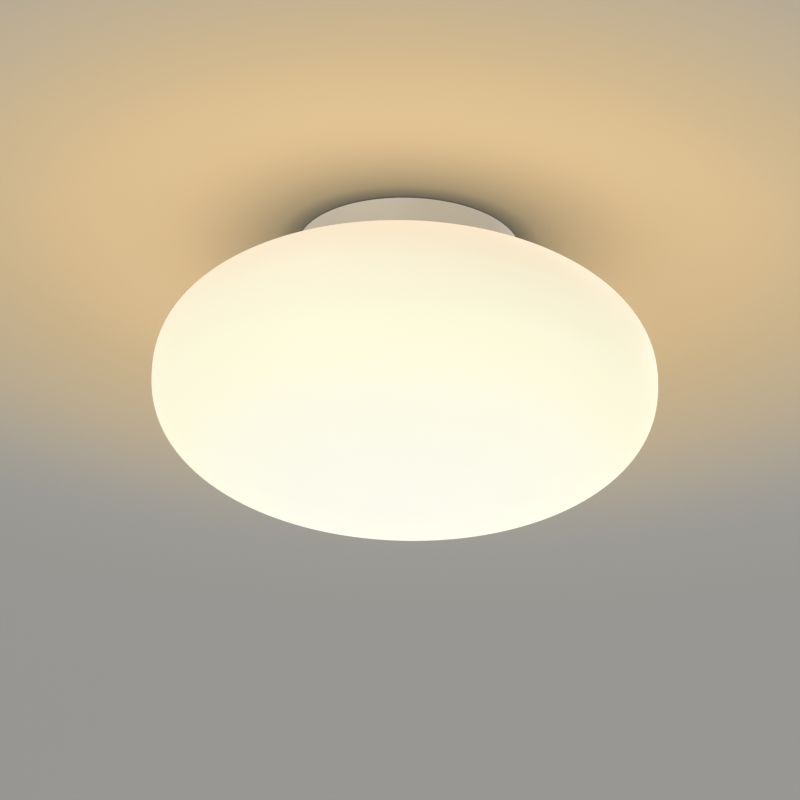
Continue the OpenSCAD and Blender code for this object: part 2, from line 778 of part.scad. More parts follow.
// Centre contact of the bulb
module bulb_contact() color(zinc) at_bulb() turned([
    [0, -thread_start - 1], [rivet_r, -thread_start - 1], [rivet_r, -eyelet_h], [eyelet_r, -eyelet_h],
    [eyelet_r, -0.5], [eyelet_r - 0.8, 0], [0, 0]
]);

// Insulator between the contact and the threaded cap
module bulb_insulator() color(black_moulding) at_bulb() turned([
    [rivet_r + snug, -thread_start - plug_l], [stem_r, -thread_start - plug_l],
    [stem_r, -thread_start], [cap_bore_r + 0.3, -thread_start],
    [eyelet_r + 1, -eyelet_h], [rivet_r + snug, -eyelet_h]
]);

// Threaded metal cap of the bulb
module bulb_cap() color(zinc) at_bulb() {
    mean_r = bulb_thread_d / 2;
    thread = slices(thread_end, -thread_start);
    closed_skin([
        for (i = [0:thread_sides - 1])
            let (a = i * 360 / thread_sides)
            [
                for (p = concat(
                    [[cap_bore_r, -thread_start], [cap_bore_r, cap_end], [mean_r + 0.5, cap_end]],
                    [[mean_r + 0.5, thread_end - 0.5]],
                    [for (z = thread) [wave_r(mean_r, z + bulb_z, a), z]]
                )) [p[0] * cos(a), p[0] * sin(a), p[1]]
            ]
    ]);
}

// Moulded housing between the cap and the dome
module bulb_housing() color(white_moulding) at_bulb() turned([
    [stem_r - housing_wall, cap_end + stem_l], [stem_r, cap_end + stem_l], [stem_r, cap_end - snug],
    [stem_r + collar_w, cap_end - snug], [stem_r + collar_w + 1.2, cap_end - collar_l],
    [housing_r - 3, housing_end + skirt_l], [housing_r, housing_end + 2], [housing_r, housing_end],
    [housing_r - housing_wall, housing_end], [housing_r - housing_wall, board_z + board_t],
    [board_r - 2, board_z + board_t], [housing_r - 5.5, housing_end + skirt_l],
    [stem_r + 1, cap_end - collar_l], [stem_r - housing_wall, cap_end]
]);

// Driver circuit inside the housing
module bulb_driver() color("darkgreen") at_bulb() {
    driver_w = 2 * (cap_bore_r - driver_side_gap);
    driver_z = board_z + board_t;
    face_y = driver_t / 2 - 0.1;
    translate([-driver_w / 2, -driver_t / 2, driver_z])
        cube([driver_w, driver_t, cap_end + driver_reach - driver_z]);
    translate([capacitor_r / 2, -face_y, driver_z + capacitor_z])
        rotate([90, 0, 0]) cylinder(r = capacitor_r, h = capacitor_l);
    translate([-choke_w, face_y, driver_z + choke_z]) cube([choke_w, choke_t, choke_h]);
    translate([-rectifier_w * 0.6, face_y, driver_z + rectifier_z])
        cube([rectifier_w, rectifier_t, rectifier_h]);
}

// Metal-core board that carries the chips
module led_board() color("whitesmoke") at_bulb()
    translate([0, 0, board_z]) cylinder(r = board_r, h = board_t - snug);

// Light-emitting chips on the lower face of the board
module led_chips() color("khaki") at_bulb() around(chip_count, chip_ring_r)
    translate([-chip_size / 2, -chip_size / 2, board_z - chip_t]) cube([chip_size, chip_size, chip_t]);

// Opal dome of the bulb
module bulb_dome() color(opal_glass) at_bulb() {
    rim_z = housing_end - snug;
    rim_r = housing_r;
    rise = rim_z - dome_mid;
    turned(concat(
        [[rim_r, rim_z], [(rim_r + dome_r) / 2 + 0.3, rim_z - rise / 2]],
        [for (t = [0:6:90]) dome_point(t, 0)],
        [for (t = [90:-6:0]) dome_point(t, dome_t)],
        [[(rim_r + dome_r) / 2 + 0.3 - dome_t, rim_z - rise / 2], [rim_r - housing_wall, rim_z]]
    ));
}

mounting_plate();
cable_grommet();
canopy_posts();
terminal_block();
terminal_sleeves();
terminal_screws();
earth_screw();
earth_tag();
canopy();
canopy_screws();
gallery_cup();
gallery_screws();
nipple();
lock_washer();
nipple_nut();
holder_cap();
holder_insert();
holder_screws();
holder_sleeve();
screw_shell();
centre_contact();
lead_live();
lead_neutral();
lead_earth();
shade_gasket();
glass_shade();
bulb_contact();
bulb_insulator();
bulb_cap();
bulb_housing();
bulb_driver();
led_board();
led_chips();
bulb_dome();
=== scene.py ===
"""Looks of a flush ceiling light: an opal glass shade that screws up into a shallow canopy.

Everything is in metres in the part's own frame, where the ceiling is z = 0 and the light hangs
below it. Each sub-assembly is a class that works out its surfaces with numpy, gives them their
finish and hands them to the frame.
"""

import logging
import math
from collections.abc import Callable, Sequence
from dataclasses import dataclass, field
from enum import Enum

import bmesh
import bpy
import numpy as np
from mathutils import Matrix, Vector
from mathutils.geometry import tessellate_polygon


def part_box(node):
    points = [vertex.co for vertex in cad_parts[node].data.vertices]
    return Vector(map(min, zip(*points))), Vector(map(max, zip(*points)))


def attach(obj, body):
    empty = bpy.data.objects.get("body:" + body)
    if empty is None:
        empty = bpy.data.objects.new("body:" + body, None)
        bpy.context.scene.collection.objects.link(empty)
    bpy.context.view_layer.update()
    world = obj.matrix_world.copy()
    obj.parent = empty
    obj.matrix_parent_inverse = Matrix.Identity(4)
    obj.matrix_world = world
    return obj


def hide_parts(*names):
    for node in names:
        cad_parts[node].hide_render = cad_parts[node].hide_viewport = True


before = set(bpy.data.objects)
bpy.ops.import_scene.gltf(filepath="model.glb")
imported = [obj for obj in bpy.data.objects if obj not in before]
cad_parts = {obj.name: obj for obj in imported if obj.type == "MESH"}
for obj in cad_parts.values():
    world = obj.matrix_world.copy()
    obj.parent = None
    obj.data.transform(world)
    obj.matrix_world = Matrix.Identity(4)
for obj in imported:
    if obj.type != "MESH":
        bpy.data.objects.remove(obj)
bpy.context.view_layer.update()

LOG = logging.getLogger("ceiling_light")
TURN = 2 * math.pi
SHARP_EDGE = math.radians(38)
EDGE_RADIUS = 0.001
# Nearness to a wall, and the clearance of fitted pieces
ON_WALL = 1e-5
BY_WALL = 1e-4
CLEAR = 0.00005
# Radii of rounded edges
FINE = 0.0001
CRISP = 0.0002
SOFT = 0.0003
SIDES = (-1, 1)
# Width of the camera's sensor in mm, and the height that the lamps aim at
SENSOR = 36.0
MIDDLE = -0.09
DUST = (142, 134, 122)
DAYLIGHT = (255, 253, 250)

Array = np.ndarray
Socket = bpy.types.NodeSocket
Rgb = tuple[int, int, int]
Relief = Callable[[Array, Array, Array], Array]


class Body(Enum):
    """The moving bodies that pieces ride on."""

    BASE = "base"
    GASKET = "gasket"
    SHADE = "shade"
    EYELET = "eyelet"
    BULB = "bulb"


class Metric(Enum):
    """Metric screw threads, each with its radius and its pitch."""

    M3 = (0.0015, 0.0005)
    M4 = (0.002, 0.0007)
    M10 = (0.005, 0.001)

    def __init__(self, radius: float, pitch: float) -> None:
        """Names the two numbers."""
        self.radius, self.pitch = radius, pitch


@dataclass(frozen=True)
class Span:
    """The reach of a node that is centred on the axis.

    Attributes:
        radius: Its outer radius.
        low: Its lowest height.
        high: Its highest height.
    """

    radius: float
    low: float
    high: float

    @classmethod
    def of(cls, node: str) -> "Span":
        """Reads a node's radius across x and its two heights from the frame."""
        low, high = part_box(node)
        return cls((high.x - low.x) / 2, low.z, high.z)


@dataclass(frozen=True)
class Profile:
    """An outline in the half plane of radius and height, with the material on its left.

    Attributes:
        points: Radius and height of each point, an array of n rows and 2 columns.
        wear: From 0 on a flat to 1 on a rounded outer edge, for each point.
        closed: True for a loop, False where both ends lie on the axis.
    """

    points: Array
    wear: Array
    closed: bool = True

    @classmethod
    def rounded(
        cls, corners: Sequence, radii: float | Sequence[float], steps: int = 5, closed: bool = True
    ) -> "Profile":
        """Rounds the corners of an outline with circle arcs.

        Each corner gives way to an arc that is tangent to both its edges. The arc's points are
        centre + (start - centre) sin((1 - t) s) / sin(s) + (end - centre) sin(t s) / sin(s),
        where s is the angle of the arc and t runs from 0 to 1.

        Args:
            corners: Radius and height of each corner.
            radii: Radius of the arcs, one for all corners or one for each.
            steps: Number of segments of an arc.
            closed: True for a loop, False where both ends lie on the axis.

        Returns:
            The rounded profile, with wear where a corner stands outwards.
        """
        p = np.asarray(corners, float)
        size = np.broadcast_to(np.asarray(radii, float), len(p)).copy()
        if not closed:
            size[[0, -1]] = 0
        back, ahead = np.roll(p, 1, axis=0) - p, np.roll(p, -1, axis=0) - p
        back_l = np.linalg.norm(back, axis=1)
        ahead_l = np.linalg.norm(ahead, axis=1)
        back, ahead = back / back_l[:, None], ahead / ahead_l[:, None]
        half = np.arccos(np.clip((back * ahead).sum(axis=1), -1, 1)) / 2
        half = np.clip(half, 1e-3, math.pi / 2 - 1e-4)
        reach = np.minimum(size / np.tan(half), 0.49 * np.minimum(back_l, ahead_l))[:, None]
        start, end = p + back * reach, p + ahead * reach
        middle = back + ahead
        middle /= np.maximum(np.linalg.norm(middle, axis=1), 1e-9)[:, None]
        centre = p + middle * reach / np.cos(half)[:, None]
        swing = (math.pi - 2 * half)[:, None, None]
        t = np.linspace(0, 1, steps + 1)[None, :, None]
        arc = (
            centre[:, None]
            + (start - centre)[:, None] * np.sin((1 - t) * swing) / np.sin(swing)
            + (end - centre)[:, None] * np.sin(t * swing) / np.sin(swing)
        )
        outward = (back[:, 1] * ahead[:, 0] - back[:, 0] * ahead[:, 1]) > 0
        tight = np.clip(2 - size / EDGE_RADIUS, 0, 1) * (size > 0)
        wear = np.sin(math.pi * t[:, :, 0]) * (outward * tight)[:, None]
        points = arc.reshape(-1, 2)
        apart = np.linalg.norm(points - np.roll(points, 1, axis=0), axis=1) > 1e-7
        apart[0] |= not closed
        return cls(points[apart], wear.reshape(-1)[apart], closed)

    def refined(
        self, step: float, low: float, high: float, inner: float, outer: float
    ) -> "Profile":
        """Divides the segments whose middle lies in a window into equal parts.

        Args:
            step: Longest part.
            low: Lowest height of the window.
            high: Highest height of the window.
            inner: Smallest radius of the window.
            outer: Largest radius of the window.

        Returns:
            The profile with its new points, its shape unchanged.
        """
        ahead = np.roll(self.points, -1, axis=0)
        ahead_wear = np.roll(self.wear, -1)
        middle = (self.points + ahead) / 2
        inside = (middle[:, 1] > low) & (middle[:, 1] < high)
        inside &= (middle[:, 0] > inner) & (middle[:, 0] < outer)
        length = np.linalg.norm(ahead - self.points, axis=1)
        parts = np.where(inside, np.ceil(length / step), 1).astype(int)
        if not self.closed:
            parts[-1] = 1
        which = np.repeat(np.arange(len(parts)), parts)
        share = (np.arange(len(which)) - np.repeat(np.cumsum(parts) - parts, parts)) / parts[which]
        points = self.points[which] + (ahead - self.points)[which] * share[:, None]
        wear = self.wear[which] + (ahead_wear - self.wear)[which] * share
        return Profile(points, wear, self.closed)


def grid_faces(rows: int, columns: int, wrap_rows: bool) -> Array:
    """Quads of a grid of points whose columns close on themselves.

    The corners are (i, j), (i, j + 1), (i + 1, j + 1) and (i + 1, j) for whole arrays of i and j.

    Args:
        rows: Number of rows.
        columns: Number of columns.
        wrap_rows: True where the last row joins the first.

    Returns:
        An array of point numbers with 4 columns.
    """
    starts = np.arange(rows if wrap_rows else rows - 1)
    i, j = np.meshgrid(starts, np.arange(columns), indexing="ij")
    up, across = (i + 1) % rows, (j + 1) % columns
    quads = [i * columns + j, i * columns + across, up * columns + across, up * columns + j]
    return np.stack(quads, axis=-1).reshape(-1, 4)


@dataclass
class Surface:
    """A closed surface.

    Attributes:
        points: Place of each point, an array of n rows and 3 columns.
        faces: Polygons as arrays of point numbers, one array for each number of corners.
        marks: Values of each point, by name, that the finishes read.
        finish_of: For each face in order, the number of its finish, or None where there is one.
    """

    points: Array
    faces: list[Array]
    marks: dict[str, Array] = field(default_factory=dict)
    finish_of: Array | None = None

    @classmethod
    def from_grid(cls, grid: Array, wrap_rows: bool = True, ends: Array | None = None) -> "Surface":
        """Makes a surface of a grid whose columns close on themselves.

        Args:
            grid: Places, an array of rows, columns and 3.
            wrap_rows: True where the last row joins the first.
            ends: Two places that close the first and the last row with triangles, or None.

        Returns:
            The surface, whose outside is where the columns run to the left, seen along the rows.
        """
        rows, columns = grid.shape[:2]
        points = grid.reshape(-1, 3)
        faces = [grid_faces(rows, columns, wrap_rows)]
        if ends is not None:
            j = np.arange(columns)
            k = (j + 1) % columns
            first, last = np.full(columns, len(points)), np.full(columns, len(points) + 1)
            top = (rows - 1) * columns
            faces.append(
                np.concatenate([np.stack([first, k, j], 1), np.stack([top + j, top + k, last], 1)])
            )
            points = np.concatenate([points, ends])
        return cls(points, faces)

    @classmethod
    def turned(cls, profile: Profile, sides: int, *reliefs: Relief) -> "Surface":
        """Turns a profile around the axis.

        A point is (r cos a, r sin a, z), where r is the profile's radius plus the reliefs at the
        angle a and the height z.

        Args:
            profile: Outline with the material on its left.
            sides: Number of points around.
            *reliefs: Functions of angle, radius and height that give a change of the radius.

        Returns:
            The turned surface.
        """
        angle = (np.arange(sides) * TURN / sides)[None, :]
        radius, height = profile.points[:, :1], profile.points[:, 1:]
        r = radius + np.zeros_like(angle)
        for relief in reliefs:
            r = r + relief(angle, radius, height)
        grid = np.stack([r * np.cos(angle), r * np.sin(angle), height + np.zeros_like(r)], axis=-1)
        wear = np.repeat(profile.wear[:, None], sides, axis=1)
        if profile.closed:
            surface = cls.from_grid(grid)
            surface.marks["wear"] = wear.reshape(-1)
            return surface
        surface = cls.from_grid(grid[1:-1], wrap_rows=False, ends=grid[[0, -1], 0])
        surface.marks["wear"] = np.concatenate([wear[1:-1].reshape(-1), [0.0, 0.0]])
        return surface

    @classmethod
    def swept(cls, path: Array, radius: float, sides: int, across: Sequence[float]) -> "Surface":
        """Carries a circle along a path.

        The ring at a point p is p + radius (cos(a) s + sin(a) u), where s is square to the path
        and to the direction across, and u is square to both the path and s.

        Args:
            path: Places along the middle of the tube.
            radius: Radius of the tube.
            sides: Number of points around.
            across: A direction that the path never takes.

        Returns:
            The tube with flat ends. Its mark "stripe" is cos(a).
        """
        ahead = np.gradient(path, axis=0)
        ahead /= np.linalg.norm(ahead, axis=1)[:, None]
        side = np.cross(np.asarray(across, float), ahead)
        side /= np.linalg.norm(side, axis=1)[:, None]
        up = np.cross(ahead, side)
        angle = (np.arange(sides) * TURN / sides)[None, :, None]
        around = np.cos(angle) * side[:, None] + np.sin(angle) * up[:, None]
        grid = path[:, None] + radius * around
        surface = cls.from_grid(grid, wrap_rows=False, ends=path[[0, -1]])
        stripe = np.broadcast_to(np.cos(angle[..., 0]), grid.shape[:2]).reshape(-1)
        surface.marks["stripe"] = np.concatenate([stripe, [0.0, 0.0]])
        return surface

    @classmethod
    def pressed(
        cls, outlines: Sequence[Array], low: float, high: float, edge: float, steps: int = 3
    ) -> "Surface":
        """Makes a flat plate with holes and with rounded edges.

        Around each outline the wall is a profile carried along it: at the angle f of a quarter
        circle it lies edge (1 - sin f) inside the outline and edge (1 - cos f) from the face.

        Args:
            outlines: The outer outline counter-clockwise, then the holes clockwise.
            low: Height of the lower face.
            high: Height of the upper face.
            edge: Radius of the rounded edges.
            steps: Segments of a rounded edge.

        Returns:
            The plate.
        """
        f = np.linspace(0, math.pi / 2, steps + 1)
        inset = edge * (1 - np.sin(np.concatenate([f, f[::-1]])))[:, None, None]
        rise = edge * (1 - np.cos(f))
        height = np.concatenate([low + rise, high - rise[::-1]])
        rub = np.sin(2 * np.concatenate([f, f[::-1]]))
        parts, bottoms, tops, loops, count = [], [], [], [], 0
        for outline in outlines:
            before, after = np.roll(outline, 1, axis=0), np.roll(outline, -1, axis=0)
            normals = []
            for edges in (outline - before, after - outline):
                length = np.linalg.norm(edges, axis=1)[:, None]
                normals.append(np.stack([-edges[:, 1], edges[:, 0]], axis=1) / length)
            first, second = normals
            inward = (first + second) / (1 + (first * second).sum(axis=1))[:, None]
            flat = outline[None] + inset * inward[None]
            tall = np.broadcast_to(height[:, None, None], flat.shape[:2] + (1,))
            wall = cls.from_grid(np.concatenate([flat, tall], axis=-1), wrap_rows=False)
            wall.marks["wear"] = np.repeat(rub, len(outline))
            parts.append(wall)
            numbers = np.arange(len(outline))
            bottoms.append(count + numbers)
            tops.append(count + (len(height) - 1) * len(outline) + numbers)
            loops.append([Vector((x, y, 0)) for x, y in flat[0]])
            count += flat.shape[0] * flat.shape[1]
        plate = cls.joined(parts)
        triangles = np.array(tessellate_polygon(loops))
        top, bottom = np.concatenate(tops)[triangles], np.concatenate(bottoms)[triangles]
        a, b, c = (plate.points[top[:, k], :2] for k in range(3))
        doubled = (b - a)[:, 0] * (c - a)[:, 1] - (b - a)[:, 1] * (c - a)[:, 0]
        top[doubled < 0] = top[doubled < 0, ::-1]
        bottom[doubled > 0] = bottom[doubled > 0, ::-1]
        plate.faces.append(np.concatenate([top, bottom]))
        return plate

    @classmethod
    def softened(cls, node: str, width: float, steps: int = 2) -> "Surface":
        """Copies a node's solid, merges its loose triangles and rounds its sharp edges.

        Args:
            node: Name of the node.
            width: Width of the rounding.
            steps: Segments of the rounding.

        Returns:
            The copy, with the node itself left as it is.
        """
        shape = bmesh.new()
        shape.from_mesh(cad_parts[node].data)
        bmesh.ops.remove_doubles(shape, verts=shape.verts, dist=1e-6)
        bmesh.ops.dissolve_limit(
            shape, angle_limit=math.radians(1), verts=shape.verts, edges=shape.edges
        )
        sharp = [e for e in shape.edges if e.is_manifold and e.calc_face_angle() > SHARP_EDGE]
        bmesh.ops.bevel(
            shape, geom=sharp, offset=width, segments=steps, profile=0.5, affect="EDGES",
            clamp_overlap=True,
        )
        bmesh.ops.remove_doubles(shape, verts=shape.verts, dist=1e-7)
        mesh = bpy.data.meshes.new(node + "_soft")
        shape.to_mesh(mesh)
        shape.free()
        return cls.from_mesh(mesh)

    @classmethod
    def from_mesh(cls, mesh: bpy.types.Mesh) -> "Surface":
        """Reads a mesh into arrays and removes it.

        Args:
            mesh: The mesh.

        Returns:
            Its surface, with its float marks.
        """
        points = np.empty(len(mesh.vertices) * 3, np.float32)
        mesh.vertices.foreach_get("co", points)
        by_count: dict[int, list[list[int]]] = {}
        for polygon in mesh.polygons:
            by_count.setdefault(polygon.loop_total, []).append(list(polygon.vertices))
        marks = {}
        if "wear" in mesh.attributes:
            wear = np.empty(len(mesh.vertices), np.float32)
            mesh.attributes["wear"].data.foreach_get("value", wear)
            marks["wear"] = wear.astype(float)
        bpy.data.meshes.remove(mesh)
        faces = [np.array(by_count[count]) for count in sorted(by_count)]
        return cls(points.reshape(-1, 3).astype(float), faces, marks)

    @staticmethod
    def joined(surfaces: Sequence["Surface"]) -> "Surface":
        """Puts several surfaces into one.

        Args:
            surfaces: The surfaces, each with the same marks or none.

        Returns:
            One surface that holds them all.
        """
        offsets = np.cumsum([0] + [len(s.points) for s in surfaces[:-1]])
        faces = [block + offset for s, offset in zip(surfaces, offsets) for block in s.faces]
        names = set.intersection(*(set(s.marks) for s in surfaces))
        marks = {name: np.concatenate([s.marks[name] for s in surfaces]) for name in sorted(names)}
        return Surface(np.concatenate([s.points for s in surfaces]), faces, marks)

    def moved(self, shift: Sequence[float], turn: float = 0.0, flip: bool = False) -> "Surface":
        """Copies the surface to another place.

        Args:
            shift: Where its origin goes.
            turn: Angle around the upright axis through its origin.
            flip: True to turn it upside down first, by half a turn around x.

        Returns:
            The moved copy.
        """
        matrix = Matrix.Rotation(turn, 3, "Z") @ Matrix.Rotation(math.pi if flip else 0, 3, "X")
        points = self.points @ np.array(matrix).T + np.asarray(shift, float)
        return Surface(points, self.faces, self.marks, self.finish_of)

    def cut(self, cutter: "Surface") -> "Surface":
        """Takes another closed surface's inside away from this one.

        Args:
            cutter: The surface to take away.

        Returns:
            What is left, with clean holes.
        """
        scene = bpy.context.scene
        kept = bpy.data.objects.new("kept", self.mesh("kept"))
        tool = bpy.data.objects.new("tool", cutter.mesh("tool"))
        scene.collection.objects.link(kept)
        scene.collection.objects.link(tool)
        modifier = kept.modifiers.new("cut", "BOOLEAN")
        modifier.operation = "DIFFERENCE"
        modifier.solver = "EXACT"
        modifier.object = tool
        graph = bpy.context.evaluated_depsgraph_get()
        result = bpy.data.meshes.new_from_object(kept.evaluated_get(graph))
        shape = bmesh.new()
        shape.from_mesh(result)
        bmesh.ops.remove_doubles(shape, verts=shape.verts, dist=5e-6)
        bmesh.ops.dissolve_degenerate(shape, edges=shape.edges, dist=2e-6)
        bmesh.ops.triangulate(shape, faces=[f for f in shape.faces if len(f.verts) > 4])
        shape.to_mesh(result)
        shape.free()
        for used in (kept, tool):
            data = used.data
            bpy.data.objects.remove(used)
            bpy.data.meshes.remove(data)
        return Surface.from_mesh(result)

    def mesh(self, name: str) -> bpy.types.Mesh:
        """Makes a mesh of the surface.

        Args:
            name: Name of the mesh.

        Returns:
            The mesh, smooth but for its sharp edges, with the marks as attributes.
        """
        mesh = bpy.data.meshes.new(name)
        faces = [face for block in self.faces for face in block.tolist()]
        mesh.from_pydata(self.points.tolist(), [], faces)
        for mark, values in self.marks.items():
            attribute = mesh.attributes.new(mark, "FLOAT", "POINT")
            attribute.data.foreach_set("value", values.astype(np.float32))
        mesh.shade_smooth()
        mesh.set_sharp_from_angle(angle=SHARP_EDGE)
        mesh.update()
        return mesh


def faded(value: Array, low: float, high: float, over: float) -> Array:
    """Gives 1 between two limits, falling evenly to 0 at them over the given length."""
    return np.clip(np.minimum(value - low, high - value) / over, 0, 1)


def near(radius: Array, wall: float, margin: float = ON_WALL) -> Array:
    """Tells which radii lie on a wall, give or take a margin."""
    return np.abs(radius - wall) < margin


def by(wall: float, margin: float = BY_WALL) -> tuple[float, float]:
    """Gives the smallest and largest radius of a window around a wall."""
    return wall - margin, wall + margin


@dataclass(frozen=True)
class Bead:
    """A right-hand thread bead on a turned wall.

    Its middle is at the height start + pitch a / (2 pi), where a is the angle over all its turns.
    It stands height above the wall over the width crest, falls to nothing at the width foot, and
    fades out over its first and last fade of a turn.

    Attributes:
        wall: Radius of the wall.
        height: Height of the bead, negative where it stands inwards.
        pitch: Rise in a turn.
        turns: Length in turns.
        start: Height of its middle at the angle 0.
        foot: Width at the wall.
        crest: Width at the top.
        fade: Length of the fades in turns.
    """

    wall: float
    height: float
    pitch: float
    turns: float
    start: float
    foot: float = 0.0022
    crest: float = 0.0008
    fade: float = 3 / 36

    def __call__(self, angle: Array, radius: Array, height: Array) -> Array:
        """Gives the relief.

        Args:
            angle: Angles around the axis, a row.
            radius: Radii of the profile, a column.
            height: Heights of the profile, a column.

        Returns:
            The change of the radius at each of them.
        """
        turns = angle[None] / TURN + np.arange(math.ceil(self.turns))[:, None, None]
        off_middle = np.abs(height[None] - self.start - self.pitch * turns)
        flank = np.clip((self.foot / 2 - off_middle) / (self.foot - self.crest) * 2, 0, 1)
        ends = faded(turns, 0, self.turns, self.fade)
        return self.height * (flank * ends).max(axis=0) * near(radius, self.wall)


@dataclass(frozen=True)
class RoundThread:
    """The rounded thread of a screw cap: depth cos(2 pi z / pitch - a) between two heights.

    Attributes:
        pitch: Rise in a turn.
        depth: Half the difference between crest and root.
        low: Lowest height.
        high: Highest height.
        fade: Height over which it fades out at each end.
    """

    pitch: float
    depth: float
    low: float
    high: float
    fade: float = 0.0012

    def __call__(self, angle: Array, radius: Array, height: Array) -> Array:
        """Gives the change of the radius at each angle, radius and height."""
        ends = faded(height, self.low, self.high, self.fade)
        return self.depth * np.cos(TURN * height / self.pitch - angle) * ends


@dataclass(frozen=True)
class CutThread:
    """A fine triangular thread cut into a wall, -depth times a triangle wave of 2 pi z / pitch - a.

    Attributes:
        wall: Radius of the wall.
        pitch: Rise in a turn.
        depth: Depth of the groove, negative in a tapped hole.
    """

    wall: float
    pitch: float
    depth: float

    def __call__(self, angle: Array, radius: Array, height: Array) -> Array:
        """Gives the change of the radius at each angle, radius and height."""
        phase = (height / self.pitch - angle / TURN) % 1
        return -self.depth * np.abs(2 * phase - 1) * near(radius, self.wall)


@dataclass(frozen=True)
class Flutes:
    """Upright grip grooves, -depth max(0, cos(count a))^2 on the wall between two heights.

    Attributes:
        wall: Radius of the wall.
        count: Number of grooves.
        depth: Depth of a groove.
        low: Lowest height.
        high: Highest height.
        fade: Height over which they run out.
        margin: How far off the wall a point may lie and still be in a groove.
    """

    wall: float
    count: int
    depth: float
    low: float
    high: float
    fade: float = 0.0015
    margin: float = 0.0004

    def __call__(self, angle: Array, radius: Array, height: Array) -> Array:
        """Gives the change of the radius at each angle, radius and height."""
        here = near(radius, self.wall, self.margin) * faded(height, self.low, self.high, self.fade)
        return -self.depth * np.maximum(0, np.cos(self.count * angle)) ** 2 * here


def circle(x: float, y: float, radius: float, sides: int = 64, hole: bool = False) -> Array:
    """Gives the outline of a circle, clockwise if it is a hole."""
    angle = np.arange(sides) * TURN / sides * (-1 if hole else 1)
    return np.stack([x + radius * np.cos(angle), y + radius * np.sin(angle)], axis=1)


def slot(x: float, length: float, width: float, sides: int = 48) -> Array:
    """Gives the clockwise outline of a hole with round ends along x.

    Args:
        x: Middle of the slot.
        length: Length from end to end.
        width: Width of the slot.
        sides: Number of points.

    Returns:
        A circle whose two halves are moved apart by length - width.
    """
    outline = circle(0, 0, width / 2, sides, hole=True)
    half = np.where(np.cos(np.arange(sides) * TURN / sides + 1e-6) > 0, 1, -1)
    outline[:, 0] += half * (length - width) / 2
    return outline + [x, 0]


def rod(radius: float, low: float, high: float, x: float = 0, y: float = 0) -> Surface:
    """Gives a plain upright cylinder, for cutting a hole."""
    corners = [[0, low], [radius, low], [radius, high], [0, high]]
    return Surface.turned(Profile.rounded(corners, 0, closed=False), 48).moved([x, y, 0])


def bar(size: Sequence[float], centre: Sequence[float]) -> Surface:
    """Gives a plain box, for cutting a recess.

    Args:
        size: Its sizes along x, y and z.
        centre: Its middle.

    Returns:
        The box as a ring of 4 sides with two ends.
    """
    x, y, z = np.asarray(size, float) / 2
    ring = np.array([[x, y], [-x, y], [-x, -y], [x, -y]])
    grid = np.stack([np.column_stack([ring, np.full(4, h)]) for h in (-z, z)])
    return Surface.from_grid(grid, False, np.array([[0, 0, -z], [0, 0, z]])).moved(centre)


def seen(colour: Rgb) -> tuple[float, float, float, float]:
    """Turns a colour as it is seen into the linear one that shaders take.

    Args:
        colour: Red, green and blue from 0 to 255.

    Returns:
        The linear colour with an alpha of 1.
    """
    c = np.asarray(colour, float) / 255
    linear = np.where(c <= 0.04045, c / 12.92, ((c + 0.055) / 1.055) ** 2.4)
    return (float(linear[0]), float(linear[1]), float(linear[2]), 1.0)


class Graph:
    """A node tree that is built by short calls."""

    def __init__(self, tree: bpy.types.NodeTree) -> None:
        """Starts with an empty tree."""
        self.tree = tree
        tree.nodes.clear()

    def add(self, kind: str, inputs: dict | None = None, **settings: object) -> bpy.types.Node:
        """Adds a node.

        Args:
            kind: Its type without the leading words ShaderNode.
            inputs: Values or sockets for its inputs, by name or number.
            **settings: Its other properties.

        Returns:
            The node.
        """
        plain = kind.startswith("NodeGroup")
        node = self.tree.nodes.new(kind if plain else "ShaderNode" + kind)
        for key, value in settings.items():
            setattr(node, key, value)
        for key, value in (inputs or {}).items():
            if isinstance(value, Socket):
                self.tree.links.new(value, node.inputs[key])
            else:
                node.inputs[key].default_value = value
        return node

    def math(self, operation: str, first: object, second: object = 0.0) -> Socket:
        """Adds a Math node and gives its result."""
        return self.add("Math", {0: first, 1: second}, operation=operation).outputs[0]

    def spread(
        self, value: object, low: float, high: float, to_low: float = 0.0, to_high: float = 1.0
    ) -> Socket:
        """Maps a value from one range to another, clamped, and gives the result."""
        limits = {"From Min": low, "From Max": high, "To Min": to_low, "To Max": to_high}
        return self.add("MapRange", {"Value": value, **limits}).outputs["Result"]

    def mix(self, share: object, first: object, second: object) -> Socket:
        """Mixes two colours and gives the result."""
        return self.add("Mix", {0: share, 6: first, 7: second}, data_type="RGBA").outputs[2]

    def ramp(
        self, value: object, stops: Sequence[float], colours: Sequence[Rgb]
    ) -> Socket:
        """Gives a colour that changes smoothly with a value.

        Args:
            value: The value.
            stops: Rising values at which the colours stand.
            colours: Colours as they are seen.

        Returns:
            The colour.
        """
        node = self.add("ValToRGB", {"Fac": self.spread(value, stops[0], stops[-1])})
        elements = node.color_ramp.elements
        for stop, colour in zip(stops[1:-1], colours[1:-1]):
            elements.new((stop - stops[0]) / (stops[-1] - stops[0])).color = seen(colour)
        elements[0].color, elements[len(elements) - 1].color = seen(colours[0]), seen(colours[-1])
        node.color_ramp.interpolation = "CARDINAL" if len(stops) > 3 else "LINEAR"
        return node.outputs[0]

    def place(self) -> Socket:
        """Gives the object coordinates."""
        return self.add("TexCoord").outputs["Object"]

    def radius(self) -> Socket:
        """Adds the distance from the upright axis, the root of x^2 + y^2.

        Returns:
            The socket that holds it.
        """
        axes = self.add("SeparateXYZ", {0: self.place()}).outputs
        squares = [self.math("MULTIPLY", axes[k], axes[k]) for k in range(2)]
        return self.math("SQRT", self.math("ADD", *squares))

    def noise(self, scale: object, detail: float = 2.0, vector: object = None) -> Socket:
        """Adds a noise texture and gives its value."""
        inputs = {"Vector": vector or self.place(), "Scale": scale, "Detail": detail}
        return self.add("TexNoise", inputs).outputs["Fac"]


